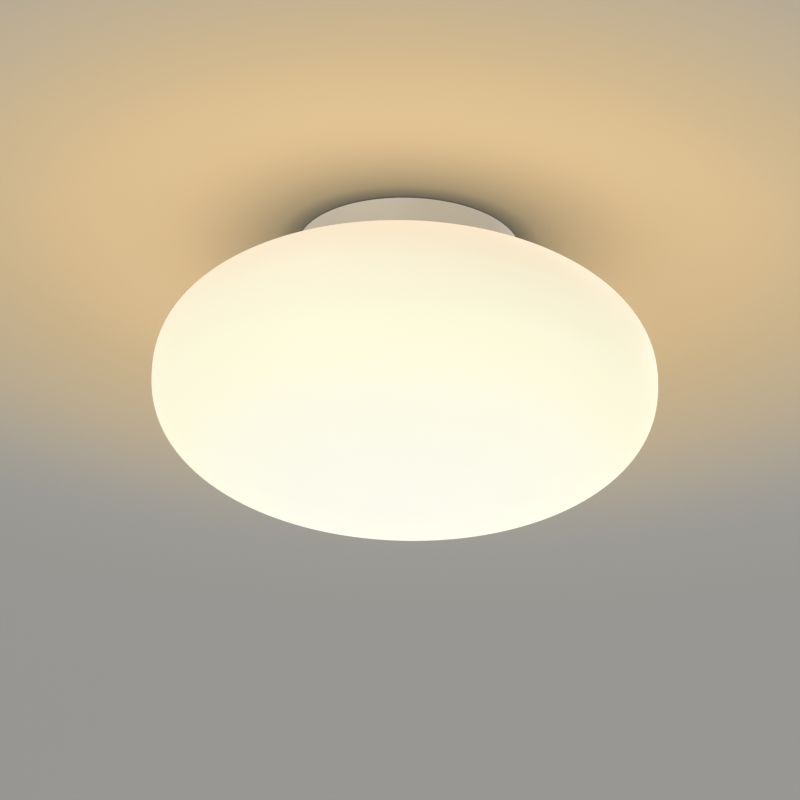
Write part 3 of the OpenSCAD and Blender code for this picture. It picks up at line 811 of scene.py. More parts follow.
class Effect(Enum):
    """Surface effects that several finishes share: name, output, and whether it has an amount."""

    MOTTLE = ("soft_mottle", "Mask", False)
    GRAIN = ("fine_grain", "Height", False)
    TURNING = ("turning_marks", "Height", False)
    RUB = ("edge_rub", "Mask", True)
    DUST = ("settled_dust", "Mask", True)
    SPANGLE = ("zinc_spangle", "Mask", False)

    def tree(self) -> bpy.types.NodeTree:
        """Finds or builds the effect's node group.

        Returns:
            Its node tree, with number inputs and one number output.
        """
        name, output, has_amount = self.value
        if name in bpy.data.node_groups:
            return bpy.data.node_groups[name]
        graph = Graph(bpy.data.node_groups.new(name, "ShaderNodeTree"))
        sockets = [("Scale", "INPUT"), ("Amount", "INPUT"), (output, "OUTPUT")]
        for label, way in sockets if has_amount else sockets[::2]:
            graph.tree.interface.new_socket(label, in_out=way, socket_type="NodeSocketFloat")
        given = graph.add("NodeGroupInput").outputs
        scale = given["Scale"]
        if self is Effect.MOTTLE:
            result = graph.spread(graph.noise(scale, 4.0), 0.32, 0.68)
        elif self is Effect.GRAIN:
            result = graph.noise(scale, 3.0)
        elif self is Effect.TURNING:
            height = graph.add("SeparateXYZ", {0: graph.place()}).outputs[2]
            rings = graph.add("CombineXYZ", {0: graph.radius(), 2: height}).outputs[0]
            result = graph.noise(scale, 2.0, rings)
        elif self is Effect.RUB:
            wear = graph.add("Attribute", attribute_name="wear").outputs["Fac"]
            patches = graph.spread(graph.noise(scale, 5.0), 0.35, 0.65)
            result = graph.math("MULTIPLY", wear, patches)
        elif self is Effect.DUST:
            normal = graph.add("NewGeometry").outputs["Normal"]
            up = graph.spread(graph.add("SeparateXYZ", {0: normal}).outputs[2], 0.35, 1.0)
            specks = graph.spread(graph.noise(scale, 6.0), 0.3, 0.75, 0.35, 1.0)
            result = graph.math("MULTIPLY", up, specks)
        else:
            bent = graph.add("TexNoise", {"Vector": graph.place(), "Scale": 90.0}).outputs["Color"]
            bent = graph.add("VectorMath", {0: bent, "Scale": 0.006}, operation="SCALE").outputs[0]
            place = graph.add("VectorMath", {0: graph.place(), 1: bent}, operation="ADD").outputs[0]
            cells = graph.add("TexVoronoi", {"Vector": place, "Scale": scale}).outputs["Color"]
            result = graph.add("SeparateColor", {0: cells}).outputs[0]
        if has_amount:
            result = graph.math("MULTIPLY", result, given["Amount"])
        graph.add("NodeGroupOutput", {output: result})
        return graph.tree


def effect_value(graph: Graph, effect: Effect, **values: float) -> Socket:
    """Places an effect in a graph.

    Args:
        graph: Where it goes.
        effect: Which effect.
        **values: Values of its inputs.

    Returns:
        Its output.
    """
    node = graph.add("Group", node_tree=effect.tree())
    for name, value in values.items():
        node.inputs[name].default_value = value
    return node.outputs[0]


@dataclass(frozen=True)
class Finish:
    """A finish of one material: colour with mottling, wear and dust, gloss, and fine relief.

    Attributes:
        name: Name of the material, and of the record's slot.
        colour: Colour as it is seen.
        second: Colour that the mottling goes towards.
        rough: Roughness at the two ends of the mottling.
        metallic: 1 for bare metal, else 0.
        mottle: Scale of the mottling, in features a metre.
        grain: Scale of the fine relief, in features a metre.
        grain_depth: Depth of the fine relief.
        turning: Scale of the rings that turning leaves, 0 for none.
        turning_depth: Depth of those rings.
        rub: How much of the rounded edges is rubbed.
        rubbed: Colour of a rubbed edge.
        dust: How much dust lies on what faces up.
        coat: Weight of the clear coat.
    """

    name: str
    colour: Rgb
    second: Rgb
    rough: tuple[float, float] = (0.4, 0.5)
    metallic: float = 0.0
    mottle: float = 40.0
    grain: float = 1500.0
    grain_depth: float = 0.00001
    turning: float = 0.0
    turning_depth: float = 0.000008
    rub: float = 0.0
    rubbed: Rgb = (150, 148, 144)
    dust: float = 0.0
    coat: float = 0.0

    def build(self) -> bpy.types.Material:
        """Builds the material, or finds it if it is there.

        Returns:
            The material.
        """
        label = self.name + "_finish"
        if label in bpy.data.materials:
            return bpy.data.materials[label]
        material = bpy.data.materials.new(label)
        material.use_nodes = True
        graph = Graph(material.node_tree)
        mottle = effect_value(graph, Effect.MOTTLE, Scale=self.mottle)
        shader = graph.add("BsdfPrincipled")
        shader.inputs["Metallic"].default_value = self.metallic
        shader.inputs["Coat Weight"].default_value = self.coat
        shader.inputs["Coat Roughness"].default_value = 0.12
        rough = graph.spread(mottle, 0.0, 1.0, *self.rough)
        colour = self.colours(graph, mottle)
        if self.rub:
            rub = effect_value(graph, Effect.RUB, Scale=self.mottle * 6, Amount=self.rub)
            colour = graph.mix(rub, colour, seen(self.rubbed))
        if self.dust:
            dust = effect_value(graph, Effect.DUST, Scale=self.mottle * 4, Amount=self.dust)
            colour = graph.mix(dust, colour, seen(DUST))
            rough = graph.math("MAXIMUM", rough, graph.math("MULTIPLY", dust, 0.9))
        values = {"Base Color": colour, "Roughness": rough, "Normal": self.relief(graph)}
        for name, value in values.items():
            graph.tree.links.new(value, shader.inputs[name])
        self.extras(graph, shader, mottle)
        graph.add("OutputMaterial", {"Surface": shader.outputs[0]})
        return material

    def colours(self, graph: Graph, mottle: Socket) -> Socket:
        """Gives the colour before wear and dust, here the mottled mix of the two colours."""
        return graph.mix(mottle, seen(self.colour), seen(self.second))

    def relief(self, graph: Graph) -> Socket:
        """Gives the normal with the grain and the turning marks on it.

        Args:
            graph: The material's graph.

        Returns:
            The normal of the last Bump node.
        """
        grain = effect_value(graph, Effect.GRAIN, Scale=self.grain)
        bump = graph.add("Bump", {"Height": grain, "Distance": self.grain_depth}).outputs[0]
        if self.turning:
            rings = effect_value(graph, Effect.TURNING, Scale=self.turning)
            inputs = {"Height": rings, "Distance": self.turning_depth, "Normal": bump}
            bump = graph.add("Bump", inputs).outputs[0]
        return bump

    def extras(self, graph: Graph, shader: bpy.types.Node, mottle: Socket) -> None:
        """Adds what only this kind of finish has, here nothing."""


@dataclass(frozen=True)
class Glow(Finish):
    """A translucent finish that glows, with a colour that changes with the height.

    Attributes:
        low: Height of the first stop.
        high: Height of the last stop.
        stops: Colours of the light from the lowest to the highest, evenly apart.
    """

    low: float = -1.0
    high: float = 0.0
    stops: tuple[Rgb, ...] = ((255, 250, 235), (255, 250, 235))

    def extras(self, graph: Graph, shader: bpy.types.Node, mottle: Socket) -> None:
        """Adds the light: a ramp over the height, mottled by about a hundredth.

        Args:
            graph: The material's graph.
            shader: Its Principled shader.
            mottle: The mottling of the surface.
        """
        height = graph.add("SeparateXYZ", {0: graph.place()}).outputs[2]
        stops = np.linspace(self.low, self.high, len(self.stops)).tolist()
        light = graph.spread(mottle, 0.0, 1.0, 0.985, 1.0)
        inputs = {0: graph.ramp(height, stops, self.stops), 1: light}
        colour = graph.add("VectorMath", inputs, operation="MULTIPLY").outputs[0]
        graph.tree.links.new(colour, shader.inputs["Emission Color"])
        shader.inputs["Emission Strength"].default_value = 1.0


@dataclass(frozen=True)
class Spangled(Finish):
    """Zinc plated sheet, whose crystals differ a little in tone.

    Attributes:
        spangle: Scale of the crystals, in features a metre.
        share: How much of the colour is theirs, the rest being the mottling's.
    """

    spangle: float = 220.0
    share: float = 0.6

    def colours(self, graph: Graph, mottle: Socket) -> Socket:
        """Gives the two colours mixed by the crystals and the mottling.

        Args:
            graph: The material's graph.
            mottle: The mottling of the surface.

        Returns:
            The colour.
        """
        cells = effect_value(graph, Effect.SPANGLE, Scale=self.spangle)
        crystals = graph.math("MULTIPLY", cells, self.share)
        clouds = graph.math("MULTIPLY", mottle, 1 - self.share)
        share = graph.math("ADD", crystals, clouds)
        return graph.mix(share, seen(self.colour), seen(self.second))


@dataclass(frozen=True)
class Striped(Finish):
    """Insulation in two colours, each along one half of the lead."""

    def colours(self, graph: Graph, mottle: Socket) -> Socket:
        """Gives one colour where the mark "stripe" is over zero and the other where it is under.

        Args:
            graph: The material's graph.
            mottle: Not used.

        Returns:
            The colour.
        """
        stripe = graph.add("Attribute", attribute_name="stripe").outputs["Fac"]
        edge = graph.spread(stripe, -0.03, 0.03)
        return graph.mix(edge, seen(self.colour), seen(self.second))


class Finishes:
    """All finishes of the light, by the record's names."""

    paint = Finish(
        "white_paint", (200, 191, 173), (197, 187, 168), (0.42, 0.5), mottle=30, grain=1100,
        grain_depth=3e-5, rub=0.45, rubbed=(224, 219, 208), dust=0.22, coat=0.15,
    )
    # Painted light: the glass's glow paints the bulb's light, brightest at the bottom near the bulb
    # and dimmer towards the shoulder, a painted shade under the canopy
    opal = Glow(
        "opal_glass", (150, 145, 130), (146, 141, 126), (0.5, 0.58), mottle=26, grain=900,
        dust=0.2, low=-0.1635, high=-0.021,
        stops=(
            (216, 218, 209), (219, 219, 195), (216, 213, 186), (213, 203, 176), (211, 190, 158),
            (198, 176, 140),
        ),
    )
    zinc = Spangled(
        "zinc_plate", (196, 200, 204), (164, 169, 175), (0.3, 0.46), 1.0, mottle=55, grain=1600,
        grain_depth=8e-6, rub=0.7, rubbed=(222, 224, 226), dust=0.3,
    )
    screw = Finish(
        "zinc_screw", (202, 204, 208), (172, 174, 180), (0.2, 0.34), 1.0, mottle=300, grain=4000,
        grain_depth=4e-6, turning=5000, turning_depth=0.000006, rub=0.8, rubbed=(232, 232, 232),
    )
    tin = Finish(
        "tinned_tag", (214, 213, 208), (182, 180, 174), (0.3, 0.45), 1.0, mottle=260, grain=2600,
        grain_depth=6e-6,
    )
    nickel = Finish(
        "nickel_cap", (212, 205, 193), (186, 178, 165), (0.16, 0.28), 1.0, mottle=160, grain=3000,
        grain_depth=3e-6, turning=3600, turning_depth=0.000005,
    )
    brass = Finish(
        "brass", (214, 180, 106), (168, 128, 70), (0.24, 0.42), 1.0, mottle=170, grain=2600,
        grain_depth=5e-6, turning=4200, turning_depth=0.000006,
    )
    ceramic = Finish(
        "glazed_ceramic", (236, 233, 222), (222, 218, 204), (0.12, 0.2), mottle=120, grain=700,
        coat=0.6,
    )
    black = Finish(
        "black_moulding", (33, 33, 35), (38, 38, 39), (0.34, 0.44), mottle=140, grain=2400,
        grain_depth=1.2e-5, rub=0.5, rubbed=(84, 82, 82), dust=0.12,
    )
    ivory = Finish(
        "ivory_moulding", (232, 229, 216), (214, 209, 192), (0.3, 0.42), mottle=110, grain=2000,
        grain_depth=8e-6,
    )
    white = Finish(
        "white_moulding", (238, 238, 233), (228, 227, 220), (0.3, 0.4), mottle=70, grain=2600,
        grain_depth=8e-6,
    )
    rubber = Finish(
        "grey_rubber", (88, 88, 90), (112, 111, 110), (0.7, 0.86), mottle=240, grain=3200,
        grain_depth=1.4e-5,
    )
    silicone = Finish(
        "silicone", (226, 225, 218), (219, 217, 209), (0.46, 0.6), mottle=190, grain=1800,
    )
    brown = Finish(
        "brown_insulation", (112, 66, 40), (92, 52, 32), (0.4, 0.55), mottle=300, grain=3400,
        grain_depth=8e-6,
    )
    blue = Finish(
        "blue_insulation", (44, 92, 168), (34, 76, 146), (0.4, 0.55), mottle=300, grain=3400,
        grain_depth=8e-6,
    )
    earth = Striped(
        "green_yellow_insulation", (52, 136, 62), (222, 206, 58), (0.4, 0.55), mottle=300,
        grain=3400, grain_depth=8e-6,
    )
    circuit = Finish(
        "circuit_board", (24, 96, 52), (28, 106, 58), (0.3, 0.42), mottle=500, grain=3000,
        grain_depth=1.2e-5, coat=0.3,
    )
    board = Finish(
        "white_board", (236, 236, 231), (230, 230, 224), (0.36, 0.46), mottle=420, grain=2200,
        grain_depth=8e-6,
    )
    phosphor = Glow(
        "phosphor", (236, 206, 110), (226, 190, 90), (0.3, 0.4), mottle=700, grain=5000,
        grain_depth=6e-6, low=-0.09, high=-0.08, stops=((255, 238, 190), (255, 238, 190)),
    )
    dome = Glow(
        "opal_dome", (150, 148, 140), (146, 144, 136), (0.4, 0.48), mottle=60, grain=1800,
        grain_depth=6e-6, low=-0.13, high=-0.083,
        stops=((214, 209, 192), (210, 202, 180), (198, 186, 160)),
    )
    wrap = Finish(
        "black_moulding_sleeve", (30, 32, 40), (48, 50, 60), (0.26, 0.4), mottle=300, grain=3000,
        grain_depth=6e-6,
    )
    tape = Finish(
        "yellow_tape", (214, 178, 62), (196, 158, 48), (0.34, 0.48), mottle=300, grain=2600,
    )


def piece(
    surface: Surface, node: str, body: Body, finish: Finish, *others: Finish, name: str = ""
) -> bpy.types.Object:
    """Makes a finished piece of a surface and gives it to the frame.

    Args:
        surface: The piece's surface, in place.
        node: The node that it stands for.
        body: The body that it rides on.
        finish: Its finish, whose name is the record's slot.
        *others: Further finishes, for the faces that the surface numbers from 1 up.
        name: Name of the piece, or the node's with "_look" after it.

    Returns:
        The piece.
    """
    label = name or node + "_look"
    mesh = surface.mesh(label)
    for used in (finish, *others):
        mesh.materials.append(used.build())
    if surface.finish_of is not None:
        mesh.polygons.foreach_set("material_index", surface.finish_of.astype(np.int32))
    made = bpy.data.objects.new(label, mesh)
    bpy.context.scene.collection.objects.link(made)
    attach(made, body.value)
    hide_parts(node)
    low, high = surface.points.min(axis=0), surface.points.max(axis=0)
    LOG.info(
        "%s on %s: %d points, %d faces, %.1f x %.1f x %.1f mm", label, body.value,
        len(surface.points), len(mesh.polygons), *((high - low) * 1000),
    )
    return made


@dataclass
class Shade:
    """The blown opal glass with its threaded neck, and the silicone ring on its shoulder.

    Attributes:
        fullness: Exponent n of the super-ellipse |r / w|^n + |z / h|^n = 1.
        height: Height of the glass without its neck.
        wall: Thickness of the glass.
        neck: Radius of the neck.
        blend: Radius where the shoulder meets the neck.
        lip: Radius of the fire-polished lip.
        sides: Points around the glass.
        steps: Points of a profile's oval.
        pitch: Pitch of the thread.
        thread_turns: Length of the thread bead.
        bead: Height of the bead.
        bead_start: Height of the bead's middle where it starts.
        thread_step: Longest step of a profile along the thread.
        gasket_play: Clearance between the ring and the neck.
        gasket_gap: Gap between the ring and the glass.
        gasket_ribs: Number of sealing ribs on the ring.
        furrow: Depth between two ribs.
    """

    fullness: float = 2.3
    height: float = 0.144
    wall: float = 0.0035
    neck: float = 0.041
    blend: float = 0.0022
    lip: float = 0.0012
    sides: int = 192
    steps: int = 110
    pitch: float = 0.005
    thread_turns: float = 38 / 36
    bead: float = 0.0012
    bead_start: float = -0.016593
    thread_step: float = 0.00022
    gasket_play: float = 0.0017
    gasket_gap: float = 0.0003
    gasket_ribs: int = 4
    furrow: float = 0.00012

    def __post_init__(self) -> None:
        """Takes the outer size and the place from the frame."""
        self.span = Span.of("glass_shade")
        self.half = self.height / 2
        self.equator = self.span.low + self.half

    def oval(self, from_r: float, to_r: float, inset: float, upper: bool) -> Array:
        """Gives points on a quarter of the glass's oval.

        r = w |cos a|^(2/n) and z = h |sin a|^(2/n), with a evenly apart between the two radii.

        Args:
            from_r: Radius of the first point.
            to_r: Radius of the last point.
            inset: How far inside the outer oval.
            upper: True for the half above the equator.

        Returns:
            Radius and height of each point.
        """
        wide, tall = self.span.radius - inset, self.half - inset
        ends = [math.acos(min(1.0, r / wide) ** (self.fullness / 2)) for r in (from_r, to_r)]
        a = np.linspace(*ends, self.steps)
        z = tall * np.abs(np.sin(a)) ** (2 / self.fullness)
        r = wide * np.abs(np.cos(a)) ** (2 / self.fullness)
        return np.stack([r, self.equator + (z if upper else -z)], axis=1)

    def glass_profile(self) -> Profile:
        """Gives the section of the glass, from the outer bottom pole over the lip to the inner one.

        Returns:
            The profile, with fine steps along the threaded neck.
        """
        room = 2.1 * self.blend
        bore = self.neck - self.wall
        widest = self.span.radius
        shoulder = self.oval(widest, self.neck, 0, True)[-1]
        inner_shoulder = self.oval(widest - self.wall, bore, self.wall, True)[-1]
        corners = np.concatenate([
            self.oval(0, widest, 0, False),
            self.oval(widest, self.neck + room, 0, True)[1:],
            [shoulder, [self.neck, self.span.high], [bore, self.span.high], inner_shoulder],
            self.oval(bore + room, widest - self.wall, self.wall, True),
            self.oval(widest - self.wall, 0, self.wall, False)[1:],
        ])
        radii = np.zeros(len(corners))
        radii[2 * self.steps - 1:2 * self.steps + 3] = [self.blend, self.lip, self.lip, self.blend]
        profile = Profile.rounded(corners, radii, steps=6, closed=False)
        return profile.refined(self.thread_step, shoulder[1], self.span.high, *by(self.neck))

    def gasket_profile(self) -> Profile:
        """Gives the section of the ring, whose lower face follows the glass.

        Returns:
            The profile, with small sealing ribs on its upper face.
        """
        low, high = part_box("shade_gasket")
        outer, inner = high.x, self.neck + self.gasket_play
        glass = self.oval(self.span.radius, inner, 0, True)[-1][1]
        r = np.linspace(inner, outer, 9)
        under = np.interp(r, [inner, outer], [glass + self.gasket_gap, low.z])
        lower = np.stack([r, under], axis=1)
        rib = np.linspace(outer, inner, 8 * self.gasket_ribs + 1)
        share = (outer - rib) / (outer - inner)
        dip = self.furrow * (1 - np.cos(TURN * self.gasket_ribs * share)) / 2
        upper = np.stack([rib, high.z - dip], axis=1)
        corners = np.concatenate([lower, upper])
        radii = np.zeros(len(corners))
        radii[[0, len(lower) - 1, len(lower), -1]] = SOFT
        return Profile.rounded(corners, radii, steps=3)

    def make(self) -> None:
        """Makes the glass and the ring."""
        bead = Bead(self.neck, self.bead, self.pitch, self.thread_turns, self.bead_start)
        glass = Surface.turned(self.glass_profile(), self.sides, bead)
        piece(glass, "glass_shade", Body.SHADE, Finishes.opal)
        ring = Surface.turned(self.gasket_profile(), 144)
        piece(ring, "shade_gasket", Body.GASKET, Finishes.silicone)


@dataclass(frozen=True)
class PanScrew:
    """A pan head screw with a cross recess and a cut thread.

    Attributes:
        size: Its thread.
        length: Length under the head.
        head_ratio: Radius of the head over that of the shank.
        tall_ratio: Height of the head over the radius of the shank.
        tip_ratio: Length of the tapered tip over the radius of the shank.
    """

    size: Metric
    length: float
    head_ratio: float = 1.8
    tall_ratio: float = 1.1
    tip_ratio: float = 0.3

    def surface(self) -> Surface:
        """Makes the screw with the face under its head at z = 0 and its shank upwards.

        Returns:
            Its surface, the domed head with its recess cut and the thread as a relief.
        """
        r, pitch, end = self.size.radius, self.size.pitch, self.length
        head, tall, tip = r * self.head_ratio, r * self.tall_ratio, r * self.tip_ratio
        corners = [
            [0, -tall], [head * 0.7, -tall], [head, -tall * 0.55], [head, 0], [r, 0],
            [r, end - tip], [r - tip, end], [0, end],
        ]
        radii = [0, head * 0.5, head * 0.12, head * 0.06, 0, 0, 0, 0]
        profile = Profile.rounded(corners, radii, closed=False)
        profile = profile.refined(pitch / 8, 0, end, *by(r, ON_WALL))
        screw = Surface.turned(profile, 40, CutThread(r, pitch, pitch / 2))
        long, wide, deep = head * 1.04, r * 0.35, tall * 1.2
        for recess in ([long, wide, deep], [wide, long, deep]):
            screw = screw.cut(bar(recess, [0, 0, -tall]))
        return screw


@dataclass
class Canopy:
    """The spun steel canopy, the gallery cup inside it, and the screws of both.

    Attributes:
        wall: Thickness of the canopy's sheet.
        corner: Outer radius between wall and lower face.
        mouth: Radius of the opening for the neck.
        hem: Width of the rolled hem.
        hem_r: Radius of its roll.
        hem_end: How far its end lies under the rim.
        hem_slope: Height over which it runs back to the wall.
        post_hole: Radius of the hole for a canopy screw.
        cup_screw_hole: Radius of the canopy's hole for a screw of the cup.
        flange_hole: Radius of the cup's hole for that screw.
        post_x: Distance of the canopy screws from the axis.
        screw_r: Distance of the cup's screws from the axis.
        cup_bore: Inner radius of the cup.
        cup_wall: Thickness of the cup's sheet.
        cup_hole: Radius of the hole for the nipple.
        cup_bend: Outer radius of the cup's upper corner.
        bead_start: Height of the middle of the cup's thread bead where it starts.
    """

    wall: float = 0.001
    corner: float = 0.003
    mouth: float = 0.044
    hem: float = 0.0018
    hem_r: float = 0.00088
    hem_end: float = 0.0014
    hem_slope: float = 0.0005
    post_hole: float = 0.0022
    cup_screw_hole: float = 0.00155
    flange_hole: float = 0.0016
    post_x: float = 0.057
    screw_r: float = 0.048
    cup_bore: float = 0.0427
    cup_wall: float = 0.001
    cup_hole: float = 0.00515
    cup_bend: float = 0.0016
    bead_start: float = -0.0182

    def __post_init__(self) -> None:
        """Takes the outer sizes and the places from the frame."""
        self.span = Span.of("canopy")
        self.cup = Span.of("gallery_cup")
        self.floor = self.span.low + self.wall
        turns = np.radians([90, 210, 330])
        self.cup_screws = [(self.screw_r * math.cos(a), self.screw_r * math.sin(a)) for a in turns]

    def shell(self) -> Surface:
        """Makes the canopy: a rolled hem, a straight wall, a round corner and a flat floor.

        Returns:
            Its surface with the five screw holes.
        """
        outer, rim, low = self.span.radius, self.span.high, self.span.low
        inner, hem, end = outer - self.wall, outer - self.hem, rim - self.hem_end
        corners = [
            [self.mouth, low], [outer, low], [outer, rim], [hem, rim], [hem, end],
            [inner, end - self.hem_slope], [inner, self.floor], [self.mouth, self.floor],
        ]
        bend = self.corner - self.wall
        radii = [SOFT, self.corner, self.hem_r, self.hem_r, SOFT, SOFT, bend, SOFT]
        shell = Surface.turned(Profile.rounded(corners, radii, steps=8), 256)
        ends = (low - self.wall, self.floor + self.wall)
        cutters = [rod(self.post_hole, *ends, side * self.post_x) for side in SIDES]
        cutters += [rod(self.cup_screw_hole, *ends, x, y) for x, y in self.cup_screws]
        return shell.cut(Surface.joined(cutters))

    def gallery(self) -> Surface:
        """Makes the pressed cup with its flange, its thread bead and its screw holes.

        Returns:
            Its surface.
        """
        low, top = self.cup.low, self.cup.high
        bore, outer = self.cup_bore, self.cup_bore + self.cup_wall
        flange_r, flange_top = self.cup.radius, self.floor + self.cup_wall
        corners = [
            [bore, low], [outer, low], [outer, self.floor], [flange_r, self.floor],
            [flange_r, flange_top], [outer, flange_top], [outer, top], [self.cup_hole, top],
            [self.cup_hole, top - self.cup_wall], [bore, top - self.cup_wall],
        ]
        bend = self.cup_bend
        radii = [SOFT, SOFT, 0, SOFT, SOFT, 2 * SOFT, bend, SOFT, SOFT, bend / 2]
        profile = Profile.rounded(corners, radii)
        profile = profile.refined(Shade.thread_step, low, top, *by(bore))
        bead = Bead(bore, -Shade.bead, Shade.pitch, Shade.thread_turns, self.bead_start)
        cup = Surface.turned(profile, 192, bead)
        ends = (self.floor - self.cup_wall / 2, flange_top + self.cup_wall)
        cutters = [rod(self.flange_hole, *ends, x, y) for x, y in self.cup_screws]
        return cup.cut(Surface.joined(cutters))

    def make(self) -> None:
        """Makes the canopy, the cup and their screws."""
        piece(self.shell(), "canopy", Body.BASE, Finishes.paint)
        piece(self.gallery(), "gallery_cup", Body.BASE, Finishes.paint)
        length = Span.of("canopy_screws").high - self.span.low
        long_screw = PanScrew(Metric.M4, length).surface()
        pair = [long_screw.moved([side * self.post_x, 0, self.span.low]) for side in SIDES]
        piece(Surface.joined(pair), "canopy_screws", Body.BASE, Finishes.screw)
        flange_top = self.floor + self.cup_wall
        length = flange_top - Span.of("gallery_screws").low
        short_screw = PanScrew(Metric.M3, length).surface()
        three = [
            short_screw.moved([x, y, flange_top], turn=k, flip=True)
            for k, (x, y) in enumerate(self.cup_screws)
        ]
        piece(Surface.joined(three), "gallery_screws", Body.BASE, Finishes.screw)


@dataclass
class CeilingPlate:
    """The zinc plated plate that is screwed to the ceiling, and what is fixed on it.

    Attributes:
        hole: Radius of the middle hole.
        slot_x: Distance of a fixing slot from the axis.
        slot_length: Length of a fixing slot.
        slot_width: Width of a fixing slot.
        entry_y: Distance of the cable entry from the axis.
        grommet: Radius of the grommet in the plate.
        grommet_bore: Radius of the grommet's bore.
        post_x: Distance of a post from the axis.
        post: Radius of a post.
        stake: Radius of the post's staked end.
        tapped: Depth of the thread in a post.
        earth: Place of the earth screw.
        tag: Thickness of the earth tag.
        edge: Radius of the sheared edges.
    """

    hole: float = 0.014
    slot_x: float = 0.035
    slot_length: float = 0.016
    slot_width: float = 0.005
    entry_y: float = 0.056
    grommet: float = 0.006
    grommet_bore: float = 0.004
    post_x: float = 0.057
    post: float = 0.0034
    stake: float = 0.0034 * 2 / 3
    tapped: float = 0.012
    tag: float = 0.0008
    earth: tuple[float, float] = (0.054 * math.sqrt(0.5), 0.054 * math.sqrt(0.5))
    edge: float = 0.00025

    def __post_init__(self) -> None:
        """Takes the plate's size from the frame."""
        self.span = Span.of("mounting_plate")

    def plate(self) -> Surface:
        """Makes the plate with its slots and holes, its edges a little rounded.

        Returns:
            Its surface.
        """
        outlines = [
            circle(0, 0, self.span.radius, 192),
            circle(0, 0, self.hole, 96, hole=True),
            circle(0, self.entry_y, self.grommet + CLEAR, 64, hole=True),
            circle(*self.earth, Metric.M4.radius + CLEAR, 40, hole=True),
        ]
        for side in SIDES:
            outlines.append(slot(side * self.slot_x, self.slot_length, self.slot_width))
            outlines.append(circle(side * self.post_x, 0, self.stake + CLEAR, 40, hole=True))
        return Surface.pressed(outlines, self.span.low, self.span.high, self.edge)

    def bush(self) -> Surface:
        """Makes the rubber grommet with its rounded lips.

        Returns:
            Its surface.
        """
        s, under, bore = Span.of("cable_grommet"), self.span.low, self.grommet_bore
        lip = self.grommet + 0.0015
        corners = [
            [bore, s.low], [bore + 0.001, s.low], [lip, under - 0.002], [lip, under],
            [self.grommet, under], [self.grommet, s.high], [bore, s.high],
        ]
        radii = [SOFT, 0.0004, 0.0008, SOFT, 0, SOFT, 0.0005]
        return Surface.turned(Profile.rounded(corners, radii), 72).moved([0, self.entry_y, 0])

    def posts(self) -> Surface:
        """Makes the two tapped posts.

        Returns:
            Their surface, the tapped bore a relief of its wall.
        """
        s, under = Span.of("canopy_posts"), self.span.low
        bore, deep, cone = Metric.M4.radius + CLEAR, s.low + self.tapped, 0.0006
        corners = [
            [0, deep + cone], [bore, deep], [bore, s.low], [self.post, s.low],
            [self.post, under], [self.stake, under], [self.stake, s.high], [0, s.high],
        ]
        radii = [0, 0, CRISP, SOFT, CRISP, 0, SOFT, 0]
        profile = Profile.rounded(corners, radii, closed=False)
        profile = profile.refined(FINE, s.low, deep, *by(bore, ON_WALL))
        post = Surface.turned(profile, 48, CutThread(bore, Metric.M4.pitch, -SOFT))
        return Surface.joined([post.moved([side * self.post_x, 0, 0]) for side in SIDES])

    def make(self) -> None:
        """Makes the plate, the grommet, the posts, the earth tag and its screw."""
        piece(self.plate(), "mounting_plate", Body.BASE, Finishes.zinc)
        piece(self.bush(), "cable_grommet", Body.BASE, Finishes.rubber)
        piece(self.posts(), "canopy_posts", Body.BASE, Finishes.screw)
        piece(Surface.softened("earth_tag", 0.00015), "earth_tag", Body.BASE, Finishes.tin)
        seat = self.span.low - self.tag
        screw = PanScrew(Metric.M4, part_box("earth_screw")[1].z - seat).surface()
        place = [*self.earth, seat]
        piece(screw.moved(place, turn=0.4), "earth_screw", Body.BASE, Finishes.brass)


